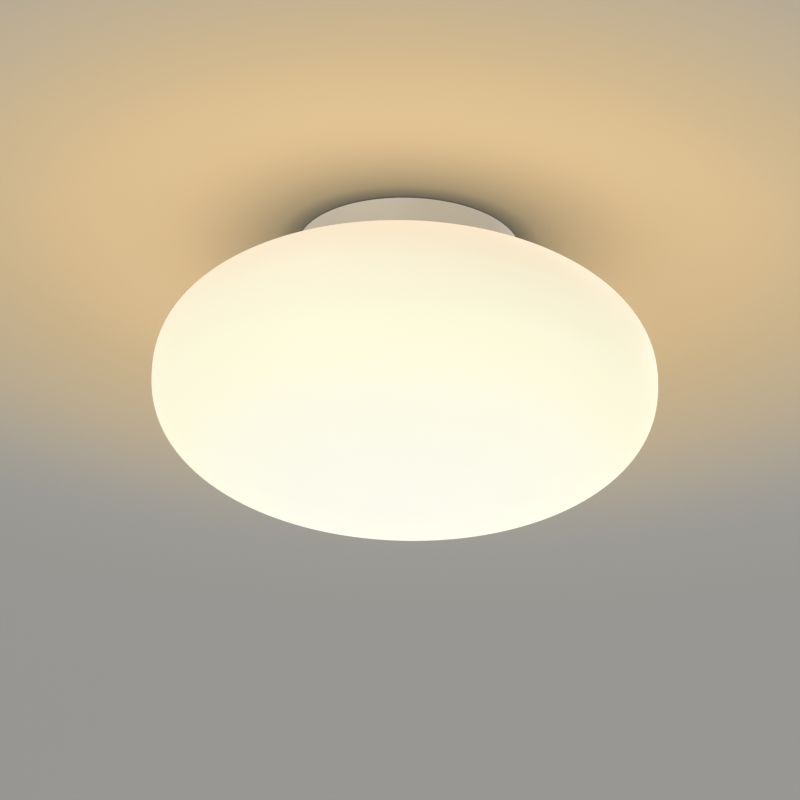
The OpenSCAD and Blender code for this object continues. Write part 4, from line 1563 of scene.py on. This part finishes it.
@dataclass
class Wiring:
    """The terminal block and the leads from it to the lampholder and the earth screw.

    Attributes:
        block_angle: Direction of the terminal block from the axis.
        block_r: Distance of the middle of the block from the axis.
        block_width: Width of the block.
        pole_pitch: Distance between two poles.
        lead: Radius of a lead.
        lane: Half the distance of the two leads in the nipple.
        terminal_x: Distance of the lampholder's terminals from the axis.
        tag_reach: Length of the earth tag beside its screw.
        step: Distance of a lead's rings.
        passes: How often its bends are evened out.
    """

    block_angle: float = math.radians(135)
    block_r: float = 0.0565
    block_width: float = 0.013
    pole_pitch: float = 0.008
    lead: float = 0.001
    lane: float = 0.0013
    terminal_x: float = 0.0095
    tag_reach: float = 0.008
    step: float = 0.0006
    passes: int = 16

    def __post_init__(self) -> None:
        """Takes the heights from the frame."""
        plate = Span.of("mounting_plate")
        self.pole_z = plate.low - 0.005
        self.barrel_z = plate.low - 0.0021
        self.cup_top = Span.of("gallery_cup").high
        self.cup_floor = self.cup_top - Canopy.cup_wall
        self.nipple_top = Span.of("nipple").high
        self.terminal_z = Span.of("holder_insert").high + self.lead + 0.0002
        self.face_r = self.block_r - self.block_width / 2
        self.out = np.array([math.cos(self.block_angle), math.sin(self.block_angle), 0])
        self.along = np.array([-self.out[1], self.out[0], 0])

    def at_block(self, out: float, along: float, height: float) -> Array:
        """Gives a place by its distances out from the axis and along the block, and its height."""
        return self.out * out + self.along * along + np.array([0, 0, height])

    def supply_route(self, side: int, pole: float) -> Array:
        """Gives the points of a lead from the block through the nipple to the lampholder.

        Args:
            side: -1 or 1, the side of the nipple that it takes.
            pole: Place of its pole along the block.

        Returns:
            The points, whose bends in the open are given one by one.
        """
        top, bend = self.nipple_top, side * self.lane
        return np.array([
            self.at_block(self.face_r + 0.003, pole, self.pole_z),
            self.at_block(self.face_r - 0.001, pole, self.pole_z),
            self.at_block(0.040, pole * 0.9, self.cup_top + 0.0022),
            self.at_block(0.026, pole * 0.7, self.cup_top + 0.0028),
            self.at_block(0.013, pole * 0.4, top + 0.0009),
            [bend - 0.0022, 0.0024 + side * 0.0006, top + 0.0015],
            [bend, 0.0002, top - 0.0006],
            [bend, 0, top - 0.004],
            [bend, 0, self.cup_floor - 0.0054],
            [side * 0.0026, 0, self.cup_floor - 0.0074],
            [side * 0.0046, 0, self.terminal_z + 0.0003],
            [side * (self.terminal_x - 0.0029), 0, self.terminal_z],
        ])

    def earth_route(self) -> Array:
        """Gives the points of the lead from the block to the earth tag.

        Returns:
            The points, whose bends in the open are given one by one.
        """
        x, y = CeilingPlate.earth
        pole = -self.pole_pitch
        return np.array([
            self.at_block(self.face_r + 0.003, pole, self.pole_z),
            self.at_block(self.face_r - 0.001, pole, self.pole_z),
            self.at_block(0.0455, pole - 0.003, self.pole_z + 0.0006),
            [-0.016, 0.043, -0.005],
            [0, 0.046, -0.005],
            [0.015, 0.045, -0.005],
            [0.021, y + 0.0015, -0.004],
            [x - self.tag_reach - 0.003, y, self.barrel_z],
            [x - self.tag_reach - 0.0005, y, self.barrel_z],
            [x - self.tag_reach + 0.0025, y, self.barrel_z],
        ])

    def smooth(self, route: Array, steps: int = 8) -> Array:
        """Puts a smooth curve through a route's points, and evens out its bends.

        Between b and c, with a before and d after, the curve is half of 2b + (c - a) t +
        (2a - 5b + 4c - d) t^2 + (3b - a - 3c + d) t^3. It is then divided into equal steps, and
        each point but the ends goes to a quarter of its neighbours and half of itself, again and
        again.

        Args:
            route: The points.
            steps: Points of the first curve for each of them.

        Returns:
            The curve's points.
        """
        ends = np.concatenate([route[:1], route, route[-1:]])
        a, b, c, d = (ends[k:len(ends) - 3 + k, None] for k in range(4))
        t = (np.arange(steps) / steps)[None, :, None]
        square, cube = 2 * a - 5 * b + 4 * c - d, 3 * b - a - 3 * c + d
        curve = 2 * b + (c - a) * t + square * t**2 + cube * t**3
        curve = np.concatenate([curve.reshape(-1, 3) / 2, route[-1:]])
        run = np.concatenate([[0], np.cumsum(np.linalg.norm(np.diff(curve, axis=0), axis=1))])
        even = np.linspace(0, run[-1], int(run[-1] / self.step) + 1)
        curve = np.stack([np.interp(even, run, curve[:, k]) for k in range(3)], axis=1)
        for _ in range(self.passes):
            curve[1:-1] = curve[:-2] / 4 + curve[1:-1] / 2 + curve[2:] / 4
        return curve

    def make(self) -> None:
        """Makes the block with its sleeves and screws, and the three leads."""
        base = Body.BASE
        piece(Surface.softened("terminal_block", 0.0004, 3), "terminal_block", base, Finishes.ivory)
        for node, finish in {"sleeves": Finishes.brass, "screws": Finishes.screw}.items():
            piece(Surface.softened(f"terminal_{node}", FINE), f"terminal_{node}", base, finish)
        routes = {
            "lead_live": (self.supply_route(-1, self.pole_pitch), self.along, Finishes.brown),
            "lead_neutral": (self.supply_route(1, 0), self.along, Finishes.blue),
            "lead_earth": (self.earth_route(), (0, 0, 1), Finishes.earth),
        }
        for node, (route, across, finish) in routes.items():
            lead = Surface.swept(self.smooth(route), self.lead, 16, across)
            piece(lead, node, base, finish)


@dataclass
class Lampholder:
    """The lampholder and the nipple that hangs it on the cup.

    Attributes:
        nipple_bore: Radius of the nipple's bore.
        nut_flats: Distance across the flats of the nut.
        washer_teeth: Number of teeth of the lock washer.
        dome: Radius of the cap's upper corner.
        crown: Thickness of the cap's top.
        grips: Number of grip flutes.
        grip: Depth of a grip flute.
        collar: Height of the shell's collar.
        joint: Radius of the joint between cap and sleeve.
        seat: Radius of the sleeve's inner seat.
        mouth: Radius of the sleeve's mouth.
        insert: Radius of the ceramic insert.
        pitch: Pitch of the round thread.
        thread_r: Mean radius of the shell's thread.
        wave: Half the depth of the thread.
        sheet: Thickness of the shell's sheet.
        flare: How far the shell's mouth opens.
    """

    nipple_bore: float = 0.0035
    nut_flats: float = 0.014
    washer_teeth: int = 16
    dome: float = 0.008
    crown: float = 0.007
    grips: int = 48
    grip: float = 0.00035
    collar: float = 0.0006
    joint: float = 0.0182
    seat: float = 0.0162
    mouth: float = 0.015
    insert: float = 0.016
    pitch: float = 0.003629
    thread_r: float = 0.0129
    wave: float = 0.00055
    sheet: float = 0.0004
    flare: float = 0.0005

    def __post_init__(self) -> None:
        """Takes the heights from the frame."""
        self.cap = Span.of("holder_cap")
        self.sleeve = Span.of("holder_sleeve")
        self.shell = Span.of("screw_shell")
        self.disc = Span.of("holder_insert")
        self.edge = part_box("holder_cap")[0].z

    def nipple(self) -> Surface:
        """Makes the threaded hollow nipple.

        Returns:
            Its surface.
        """
        s = Span.of("nipple")
        pitch, bore = Metric.M10.pitch, self.nipple_bore
        corners = [[bore, s.low], [s.radius, s.low], [s.radius, s.high], [bore, s.high]]
        profile = Profile.rounded(corners, [CRISP, 0.0005, 0.0005, CRISP])
        profile = profile.refined(pitch / 8, s.low, s.high, *by(s.radius, ON_WALL))
        return Surface.turned(profile, 64, CutThread(s.radius, pitch, 0.45 * pitch))

    def nut(self) -> Surface:
        """Makes the hexagon nut with chamfered corners.

        The wall's radius at the angle a is R = f / cos(a'), with f half the width across flats and
        a' the angle from the nearest flat's middle, and the chamfer starts (R - c) tan 30 degrees
        from the face, where c is the radius of the chamfer's circle.

        Returns:
            Its surface.
        """
        s, bore, flat = Span.of("nipple_nut"), Metric.M10.radius, self.nut_flats / 2
        low, high, bevel, sides = s.low, s.high, 0.0004, 144
        angle = np.arange(sides) * TURN / sides
        wall = flat / np.cos((angle + TURN / 12) % (TURN / 6) - TURN / 12)
        ring = flat * 0.985
        drop = (wall - ring) * math.tan(math.radians(30))
        rings = [
            (bore, low + bevel), (bore + bevel, low), (ring, low), (wall, low + drop),
            (wall, high - drop), (ring, high), (bore + bevel, high), (bore, high - bevel),
        ]
        radii, heights = (
            np.stack([np.broadcast_to(pair[k], sides) for pair in rings]) for k in range(2)
        )
        turned = angle + TURN / 12
        grid = np.stack([radii * np.cos(turned), radii * np.sin(turned), heights], axis=-1)
        nut = Surface.from_grid(grid)
        nut.marks["wear"] = np.repeat([0.0, 1, 0.5, 1, 1, 0.5, 1, 0.0], sides)
        return nut

    def washer(self) -> Surface:
        """Makes the toothed lock washer, whose rim has a notch between two teeth.

        Returns:
            Its surface.
        """
        s = Span.of("lock_washer")
        teeth, notch = self.washer_teeth, 0.0007
        angle = np.arange(teeth * 20) * TURN / (teeth * 20)
        off = (angle * teeth / TURN + 0.5) % 1 - 0.5
        arc = off * TURN / teeth * s.radius / notch
        rim = s.radius - notch * np.sqrt(np.clip(1 - arc**2, 0, 1))
        outer = np.stack([rim * np.cos(angle), rim * np.sin(angle)], axis=1)
        hole = circle(0, 0, Metric.M10.radius + FINE, 64, hole=True)
        return Surface.pressed([outer, hole], s.low, s.high, 0.00008)

    def cap_surface(self) -> Surface:
        """Makes the domed cap with grip flutes.

        Returns:
            Its surface.
        """
        top, r = self.cap.high, self.cap.radius
        rest, joint = self.sleeve.high + CLEAR, self.joint + CLEAR
        fit, lip, hole = self.insert - CLEAR, self.disc.high, Metric.M10.radius
        under, wall = top - self.crown, self.insert - 0.002
        corners = [
            [hole, under], [self.insert - 0.005, under], [wall, rest + 0.001], [wall, lip],
            [fit, lip], [fit, rest], [joint, rest], [joint, self.edge], [r, self.edge],
            [r, top], [hole, top],
        ]
        radii = [SOFT, 0.001, 0.0005, CRISP, 0, 0, 0, SOFT, 0.0005, self.dome, 0.0005]
        profile = Profile.rounded(corners, radii, steps=8)
        low, high = self.edge + 0.0008, top - self.dome - 0.0005
        profile = profile.refined(0.0005, low, high, *by(r))
        return Surface.turned(profile, 288, Flutes(r, self.grips, self.grip, low, high))

    def sleeve_surface(self) -> Surface:
        """Makes the outer sleeve with grip flutes.

        Returns:
            Its surface.
        """
        low, top, r = self.sleeve.low, self.sleeve.high, self.sleeve.radius
        edge, ledge = self.edge - SOFT, self.shell.high - self.collar
        mouth, joint, seat = self.mouth, self.joint, self.seat
        corners = [
            [mouth, low], [r - 0.0017, low], [r - 0.001, low + 0.001], [r, edge - 0.005],
            [r, edge], [joint, edge], [joint, top], [seat, top], [seat, ledge], [mouth, ledge],
        ]
        radii = [0.0005, 0.0006, 0.0006, 0.001, 0.0004, CRISP, SOFT, SOFT, CRISP, SOFT]
        profile = Profile.rounded(corners, radii)
        start = edge - 0.0046
        profile = profile.refined(0.0004, start, edge - 0.0004, *by(r))
        flutes = Flutes(r, self.grips, self.grip, start, edge - 0.0005, 0.0008)
        return Surface.turned(profile, 288, flutes)

    def shell_surface(self) -> Surface:
        """Makes the rolled brass shell, whose thread is a wave of the sheet.

        Returns:
            Its surface.
        """
        low, top = self.shell.low, self.shell.high
        ledge = top - self.collar
        inner, outer, flared = self.thread_r, self.thread_r + self.sheet, low + 0.0012
        corners = [
            [0.008, ledge], [inner, ledge], [inner, flared], [inner + self.flare, low],
            [outer + self.flare, low], [outer, flared], [outer, ledge],
            [self.shell.radius, ledge], [self.shell.radius, top], [0.008, top],
        ]
        radii = [FINE, SOFT, 0.0004, FINE, FINE, 0.0004, CRISP, FINE, FINE, FINE]
        profile = Profile.rounded(corners, radii, steps=3)
        window = (inner - BY_WALL, outer + self.flare + BY_WALL)
        profile = profile.refined(self.pitch / 14, low, ledge, *window)
        thread = RoundThread(self.pitch, self.wave, low, ledge - 0.0008)
        return Surface.turned(profile, 96, thread)

    def make(self) -> None:
        """Makes all parts of the lampholder."""
        base = Body.BASE
        piece(self.nipple(), "nipple", base, Finishes.screw)
        piece(self.nut(), "nipple_nut", base, Finishes.screw)
        piece(self.washer(), "lock_washer", base, Finishes.screw)
        piece(self.cap_surface(), "holder_cap", base, Finishes.black)
        piece(self.sleeve_surface(), "holder_sleeve", base, Finishes.black)
        piece(self.shell_surface(), "screw_shell", base, Finishes.brass)
        piece(Surface.softened("holder_insert", 0.0004, 3), "holder_insert", base, Finishes.ceramic)
        piece(Surface.softened("centre_contact", 0.0001), "centre_contact", base, Finishes.brass)
        top, x = self.disc.high, Wiring.terminal_x
        screw = PanScrew(Metric.M3, top - Span.of("holder_screws").low).surface()
        pair = [screw.moved([side * x, 0, top], turn=side * 0.5, flip=True) for side in SIDES]
        piece(Surface.joined(pair), "holder_screws", base, Finishes.brass)


@dataclass
class Bulb:
    """The bulb: threaded cap, moulded housing, driver, board with chips, and opal dome.

    Attributes:
        cap_bore: Inner radius of the cap.
        sheet: Thickness of the cap's sheet.
        on_board: How far from the driver's middle its components start.
        divide: Height in the housing that parts its lower components from the upper.
        thread_r: Mean radius of the cap's thread.
        thread_start: Distance of the cap's upper edge below the contact.
        stem: Radius of what fits in the cap.
        rivet: Radius of the contact's rivet.
        wall: Thickness of the housing.
        dome_wall: Thickness of the dome.
        dome_mid: Distance of the dome's widest ring below the contact.
        chips: Number of chips.
        chip: Size of a chip.
        chip_height: Height of a chip.
        ring: Radius of the ring of chips.
    """

    cap_bore: float = 0.01165
    sheet: float = 0.00032
    on_board: float = 0.00061
    divide: float = 0.0155
    thread_r: float = 0.0124
    thread_start: float = 0.006
    stem: float = 0.01135
    rivet: float = 0.0014
    wall: float = 0.0016
    dome_wall: float = 0.0012
    dome_mid: float = 0.063
    chips: int = 12
    chip: float = 0.003
    chip_height: float = 0.0007
    ring: float = 0.014

    def __post_init__(self) -> None:
        """Takes the heights from the frame."""
        self.contact = Span.of("bulb_contact").high
        self.cap = Span.of("bulb_cap")
        self.plug = Span.of("bulb_insulator")
        self.housing = Span.of("bulb_housing")
        self.board = Span.of("led_board")
        self.dome = Span.of("bulb_dome")

    def cap_surface(self) -> Surface:
        """Makes the rolled cap, whose thread is a wave of the sheet.

        Returns:
            Its surface.
        """
        low, top = self.cap.low, self.cap.high
        bore, outer, skirt = self.cap_bore, self.thread_r, self.cap.radius
        inner, start = outer - self.sheet, Span.of("screw_shell").low - SOFT
        corners = [
            [bore, low], [skirt, low], [skirt, start - 0.0004], [outer, start],
            [outer, top - 0.0018], [outer - 0.0006, top - 0.0006], [bore, top],
            [bore, top - 0.0004], [outer - 0.0009, top - 0.0011], [inner, top - 0.002],
            [inner, start], [bore, start - 0.0008],
        ]
        radii = [FINE, CRISP, SOFT, SOFT, 0.0006, 0.0004, FINE, 0, CRISP, CRISP, CRISP, CRISP]
        profile = Profile.rounded(corners, radii, steps=3)
        pitch = Lampholder.pitch
        profile = profile.refined(pitch / 14, start, top, outer - 0.001, outer + BY_WALL)
        thread = RoundThread(pitch, Lampholder.wave, start, top - 0.0007, 0.0009)
        return Surface.turned(profile, 96, thread)

    def insulator(self) -> Surface:
        """Makes the glassy insulator between contact and cap.

        Returns:
            Its surface.
        """
        low, top = self.plug.low, self.plug.high
        edge = self.contact - self.thread_start
        bore, stem = self.rivet + CLEAR, self.stem - 3 * CLEAR
        corners = [
            [bore, low], [stem, low], [stem, edge], [self.plug.radius, edge],
            [0.0056, top], [bore, top],
        ]
        return Surface.turned(Profile.rounded(corners, [0, 0, 0, SOFT, 0.0008, 0]), 72)

    def contact_surface(self) -> Surface:
        """Makes the centre contact: a rivet with a flat eyelet and a drop of solder.

        Returns:
            Its surface.
        """
        s = Span.of("bulb_contact")
        under = self.plug.high
        corners = [
            [0, s.low], [self.rivet, s.low], [self.rivet, under], [s.radius, under],
            [s.radius, under + 0.0009], [s.radius - 0.0008, s.high - 0.0001],
            [0.0016, s.high - 0.0002], [0, s.high],
        ]
        radii = [0, CRISP, 0, CRISP, 0.0004, 0.0004, 0.0006, 0]
        return Surface.turned(Profile.rounded(corners, radii, closed=False), 48)

    def housing_surface(self) -> Surface:
        """Makes the moulded housing, from its stem in the cap to its rim around the board.

        Returns:
            Its surface.
        """
        low, top, r = self.housing.low, self.housing.high, self.housing.radius
        stem, inner, bore = self.stem, r - self.wall, self.stem - self.wall
        cap_low, ledge = self.cap.low - CLEAR, self.board.high + CLEAR
        throat, belly = cap_low - 0.005, low + 0.008
        corners = [
            [bore, top - 0.0091], [stem + 0.001, throat], [r - 0.0055, belly],
            [self.board.radius - 0.002, ledge], [inner, ledge], [inner, low], [r, low],
            [r, low + 0.002], [r - 0.003, belly], [stem + 0.0034, throat],
            [stem + 0.0022, cap_low], [stem, cap_low], [stem, top], [bore, top],
        ]
        radii = [
            0.002, 0.004, 0.004, SOFT, 0, CRISP, SOFT, 0.004, 0.012, 0.004, 0.0006, 0, SOFT, SOFT,
        ]
        return Surface.turned(Profile.rounded(corners, radii, steps=8), 144)

    def dome_profile(self) -> Profile:
        """Gives the section of the dome, an ellipse below its widest ring.

        r = w cos t and z = mid - h sin t for t from 0 to a quarter turn, outside and inside.

        Returns:
            The profile, from the outer pole over the rim to the inner pole.
        """
        mid = self.contact - self.dome_mid
        rim, rim_r = self.dome.high, self.housing.radius
        t = np.linspace(math.pi / 2, 0, 40)
        sections = []
        for inset in (0.0, self.dome_wall):
            wide, tall = self.dome.radius - inset, mid - self.dome.low - inset
            lower = np.stack([wide * np.cos(t), mid - tall * np.sin(t)], axis=1)
            lower[0, 0] = 0
            rise = np.linspace(0, 1, 9)[1:, None]
            swell = (self.dome.radius - rim_r) * (1 - rise**2)
            upper = np.concatenate([rim_r - inset + swell, mid + (rim - mid) * rise], axis=1)
            sections.append(np.concatenate([lower, upper]))
        outline = np.concatenate([sections[0], sections[1][::-1]])
        return Profile(outline, np.zeros(len(outline)), closed=False)

    def chip_surface(self) -> Surface:
        """Makes the chips: white frames that hold a pad of phosphor.

        A chip is a square ring with rounded corners, |x|^6 + |y|^6 = (size / 2)^6, whose rings go
        from the board up its wall, over the frame and down to the pad.

        Returns:
            Their surface, with finish 0 on the pads and 1 on the frames.
        """
        top = self.board.low
        low = top - self.chip_height
        sides = 24
        a = np.arange(sides) * TURN / sides
        square = 1 / (np.abs(np.cos(a)) ** 6 + np.abs(np.sin(a)) ** 6) ** (1 / 6)
        rim = low + FINE
        steps = np.array([[1, top], [1, rim], [0.95, low], [0.8, low], [0.76, rim]])
        radius = steps[::-1, :1] * square[None] * self.chip / 2
        height = np.broadcast_to(steps[::-1, 1:], radius.shape)
        grid = np.stack([radius * np.cos(a), radius * np.sin(a), height], axis=-1)
        ends = np.array([[0, 0, low + 0.00008], [0, 0, top]])
        chip = Surface.from_grid(grid, False, ends)
        ring, around = self.ring, [TURN * k / self.chips for k in range(self.chips)]
        copies = [
            chip.moved([ring * math.cos(b), ring * math.sin(b), 0], turn=b) for b in around
        ]
        chips = Surface.joined(copies)
        pads = [(np.arange(len(f)) < sides) & (f.shape[1] == 3) for f in chips.faces]
        chips.finish_of = 1 - np.concatenate(pads)
        return chips

    def driver(self) -> Surface:
        """Makes the driver's board and its components, told apart by where they stand.

        Returns:
            Their surface, with a finish number for each face.
        """
        driver = Surface.softened("bulb_driver", 0.00015)
        middles = np.concatenate([driver.points[block].mean(axis=1) for block in driver.faces])
        side, height = middles[:, 1], middles[:, 2] - self.housing.low
        front, back, lower = side > self.on_board, side < -self.on_board, height < self.divide
        driver.finish_of = np.select([back, front & lower, front], [1, 2, 3], 0)
        return driver

    def make(self) -> None:
        """Makes all parts of the bulb."""
        bulb = Body.BULB
        piece(self.contact_surface(), "bulb_contact", Body.EYELET, Finishes.tin)
        piece(self.insulator(), "bulb_insulator", bulb, Finishes.black)
        piece(self.cap_surface(), "bulb_cap", bulb, Finishes.nickel)
        piece(self.housing_surface(), "bulb_housing", bulb, Finishes.white)
        piece(Surface.turned(self.dome_profile(), 144), "bulb_dome", bulb, Finishes.dome)
        circuit = (Finishes.circuit, Finishes.wrap, Finishes.tape, Finishes.black)
        piece(self.driver(), "bulb_driver", bulb, *circuit)
        outlines = [circle(0, 0, self.board.radius, 144), circle(0, 0, 0.002, 32, hole=True)]
        disc = Surface.pressed(outlines, self.board.low, self.board.high, FINE)
        piece(disc, "led_board", bulb, Finishes.board)
        piece(self.chip_surface(), "led_chips", bulb, Finishes.phosphor, Finishes.board)


@dataclass(frozen=True)
class Lamp:
    """A soft square lamp that is aimed at the light.

    Attributes:
        place: Where it stands.
        power: Its power in watts.
        size: Its width.
        colour: Its colour as it is seen.
    """

    place: tuple[float, float, float]
    power: float
    size: float
    colour: Rgb = DAYLIGHT

    def make(self, name: str) -> None:
        """Puts the lamp in the scene, unseen by the camera.

        Args:
            name: Name of the lamp.
        """
        data = bpy.data.lights.new(name, "AREA")
        data.energy, data.size = self.power, self.size
        data.color = seen(self.colour)[:3]
        lamp = bpy.data.objects.new(name, data)
        lamp.location = self.place
        lamp.rotation_mode = "QUATERNION"
        aim = Vector((0, 0, MIDDLE)) - Vector(self.place)
        lamp.rotation_quaternion = aim.to_track_quat("-Z", "Y")
        lamp.visible_camera = False
        bpy.context.scene.collection.objects.link(lamp)


@dataclass
class Studio:
    """The surroundings: a pale ceiling with painted light and shadow, a pale floor, soft lamps and
    the camera.

    Attributes:
        lift: Height of the ceiling above the plate, so that no faces coincide.
        floor: Height of the floor.
        painted_glow_and_shadow: Distances from the axis, and the ceiling's colour there, painting a
            shadow at the canopy and a warm pool of light.
        floor_colour: Colour of the floor as it is seen.
        sky: Colour that the camera sees past both.
        fill: Strength of the even light from all sides.
        view_angle: The camera's angle of view.
        camera: Place of the camera.
        climb: How far up the camera looks from level.
        roll: How far it is turned around its line of sight.
        lamps: The lamps.
    """

    lift: float = 0.0003
    floor: float = -2.4
    # Painted light and shadow on the ceiling: dark at the canopy's rim, warm where the shade's
    # light falls, grey further out
    painted_glow_and_shadow: tuple[tuple[float, Rgb], ...] = (
        (0.06, (98, 100, 102)), (0.08, (180, 170, 148)), (0.14, (228, 204, 164)),
        (0.24, (220, 196, 156)), (0.42, (176, 172, 164)), (0.60, (162, 162, 162)),
    )
    floor_colour: Rgb = (248, 247, 243)
    sky: Rgb = (226, 224, 219)
    fill: float = 0.62
    view_angle: float = math.radians(12)
    camera: tuple[float, float, float] = (-0.00253, -2.04987, -1.03663)
    climb: float = math.radians(24.539)
    roll: float = math.radians(1.722)
    lamps: tuple[Lamp, ...] = (
        Lamp((-1.3, -1.5, -1.5), 13.0, 2.2),
        Lamp((1.6, -0.9, -1.0), 8.0, 2.0),
        Lamp((0.2, 1.7, -0.5), 2.5, 1.6),
        Lamp((-1.0, -1.2, 1.4), 14.0, 2.6),
        Lamp((1.2, 1.3, 1.2), 7.0, 2.0),
    )

    def plane(
        self, name: str, height: float, size: float, down: bool
    ) -> tuple[Graph, bpy.types.Object]:
        """Makes a large plain plane.

        Args:
            name: Name of the plane.
            height: Its height.
            size: Its width.
            down: True where it faces down.

        Returns:
            The graph of its empty material, and the plane, which casts no shadow.
        """
        half = size / 2
        corners = np.array([[-half, -half], [half, -half], [half, half], [-half, half]])
        points = np.column_stack([corners, np.full(4, height)])
        mesh = bpy.data.meshes.new(name)
        mesh.from_pydata(points.tolist(), [], [[3, 2, 1, 0] if down else [0, 1, 2, 3]])
        material = bpy.data.materials.new(name)
        material.use_nodes = True
        mesh.materials.append(material)
        made = bpy.data.objects.new(name, mesh)
        made.visible_shadow = False
        bpy.context.scene.collection.objects.link(made)
        return Graph(material.node_tree), made

    def ceiling(self) -> None:
        """Makes the ceiling, which the camera sees from below and nothing else meets.

        Its colour, by distance from the axis, paints a shadow round the canopy and a warm pool of
        light. Its back is clear.
        """
        graph, plane = self.plane("stage_ceiling", self.lift, 12.0, down=True)
        plane.visible_diffuse = plane.visible_glossy = plane.visible_transmission = False
        reaches, colours = zip(*self.painted_glow_and_shadow)
        # Painted light: the ramp paints the canopy's shadow and the shade's warm glow into the
        # ceiling's colour
        colour = graph.ramp(graph.radius(), reaches, colours)
        front = graph.add("BsdfPrincipled", {"Base Color": colour, "Roughness": 0.9})
        back = graph.add("NewGeometry").outputs["Backfacing"]
        clear = graph.add("BsdfTransparent").outputs[0]
        shader = graph.add("MixShader", {0: back, 1: front.outputs[0], 2: clear})
        graph.add("OutputMaterial", {"Surface": shader.outputs[0]})

    def ground(self) -> None:
        """Makes the plain pale floor."""
        graph, _ = self.plane("stage_floor", self.floor, 40.0, down=False)
        inputs = {"Base Color": seen(self.floor_colour), "Roughness": 0.9}
        graph.add("OutputMaterial", {"Surface": graph.add("BsdfPrincipled", inputs).outputs[0]})

    def world(self) -> None:
        """Sets the even light, and the pale colour that the camera and reflections see."""
        world = bpy.data.worlds.new("surroundings")
        world.use_nodes = True
        graph = Graph(world.node_tree)
        paths = graph.add("LightPath").outputs
        seen_by = graph.math("MAXIMUM", paths["Is Camera Ray"], paths["Is Glossy Ray"])
        seen_by = graph.math("MAXIMUM", seen_by, paths["Is Transmission Ray"])
        light = graph.add("Background", {"Color": seen(DAYLIGHT), "Strength": self.fill})
        sky = graph.add("Background", {"Color": seen(self.sky), "Strength": 1.0})
        mixed = graph.add("MixShader", {0: seen_by, 1: light.outputs[0], 2: sky.outputs[0]})
        graph.add("OutputWorld", {"Surface": mixed.outputs[0]})
        bpy.context.scene.world = world

    def shot(self) -> None:
        """Sets the camera at the photograph's angle.

        It looks along d = (0, cos e, sin e), where e is the climb, and its sides are turned
        around d by the roll.
        """
        ahead = Vector((0, math.cos(self.climb), math.sin(self.climb)))
        up = Vector((0, -math.sin(self.climb), math.cos(self.climb)))
        right = Vector((1, 0, 0))
        c, s = math.cos(self.roll), math.sin(self.roll)
        turned_right, turned_up = right * c + up * s, up * c - right * s
        data = bpy.data.cameras.new("camera")
        data.sensor_width = SENSOR
        data.lens = data.sensor_width / 2 / math.tan(self.view_angle / 2)
        data.clip_start, data.clip_end = 0.05, 60.0
        camera = bpy.data.objects.new("camera", data)
        turn = Matrix((turned_right, turned_up, -ahead)).transposed().to_4x4()
        camera.matrix_world = Matrix.Translation(self.camera) @ turn
        bpy.context.scene.collection.objects.link(camera)
        bpy.context.scene.camera = camera

    def make(self) -> None:
        """Makes the planes, the lamps, the even light and the camera."""
        self.shot()
        self.ceiling()
        self.ground()
        for k, lamp in enumerate(self.lamps):
            lamp.make(f"lamp_{k}")
        self.world()
        bpy.context.scene.view_settings.view_transform = "Standard"


def main() -> None:
    """Builds the light and its surroundings."""
    logging.basicConfig(level=logging.INFO, format="%(name)s: %(message)s")
    Studio().make()
    for assembly in (Shade(), Canopy(), CeilingPlate(), Wiring(), Lampholder(), Bulb()):
        LOG.info("making %s", type(assembly).__name__)
        assembly.make()


if __name__ == "__main__":
    main()
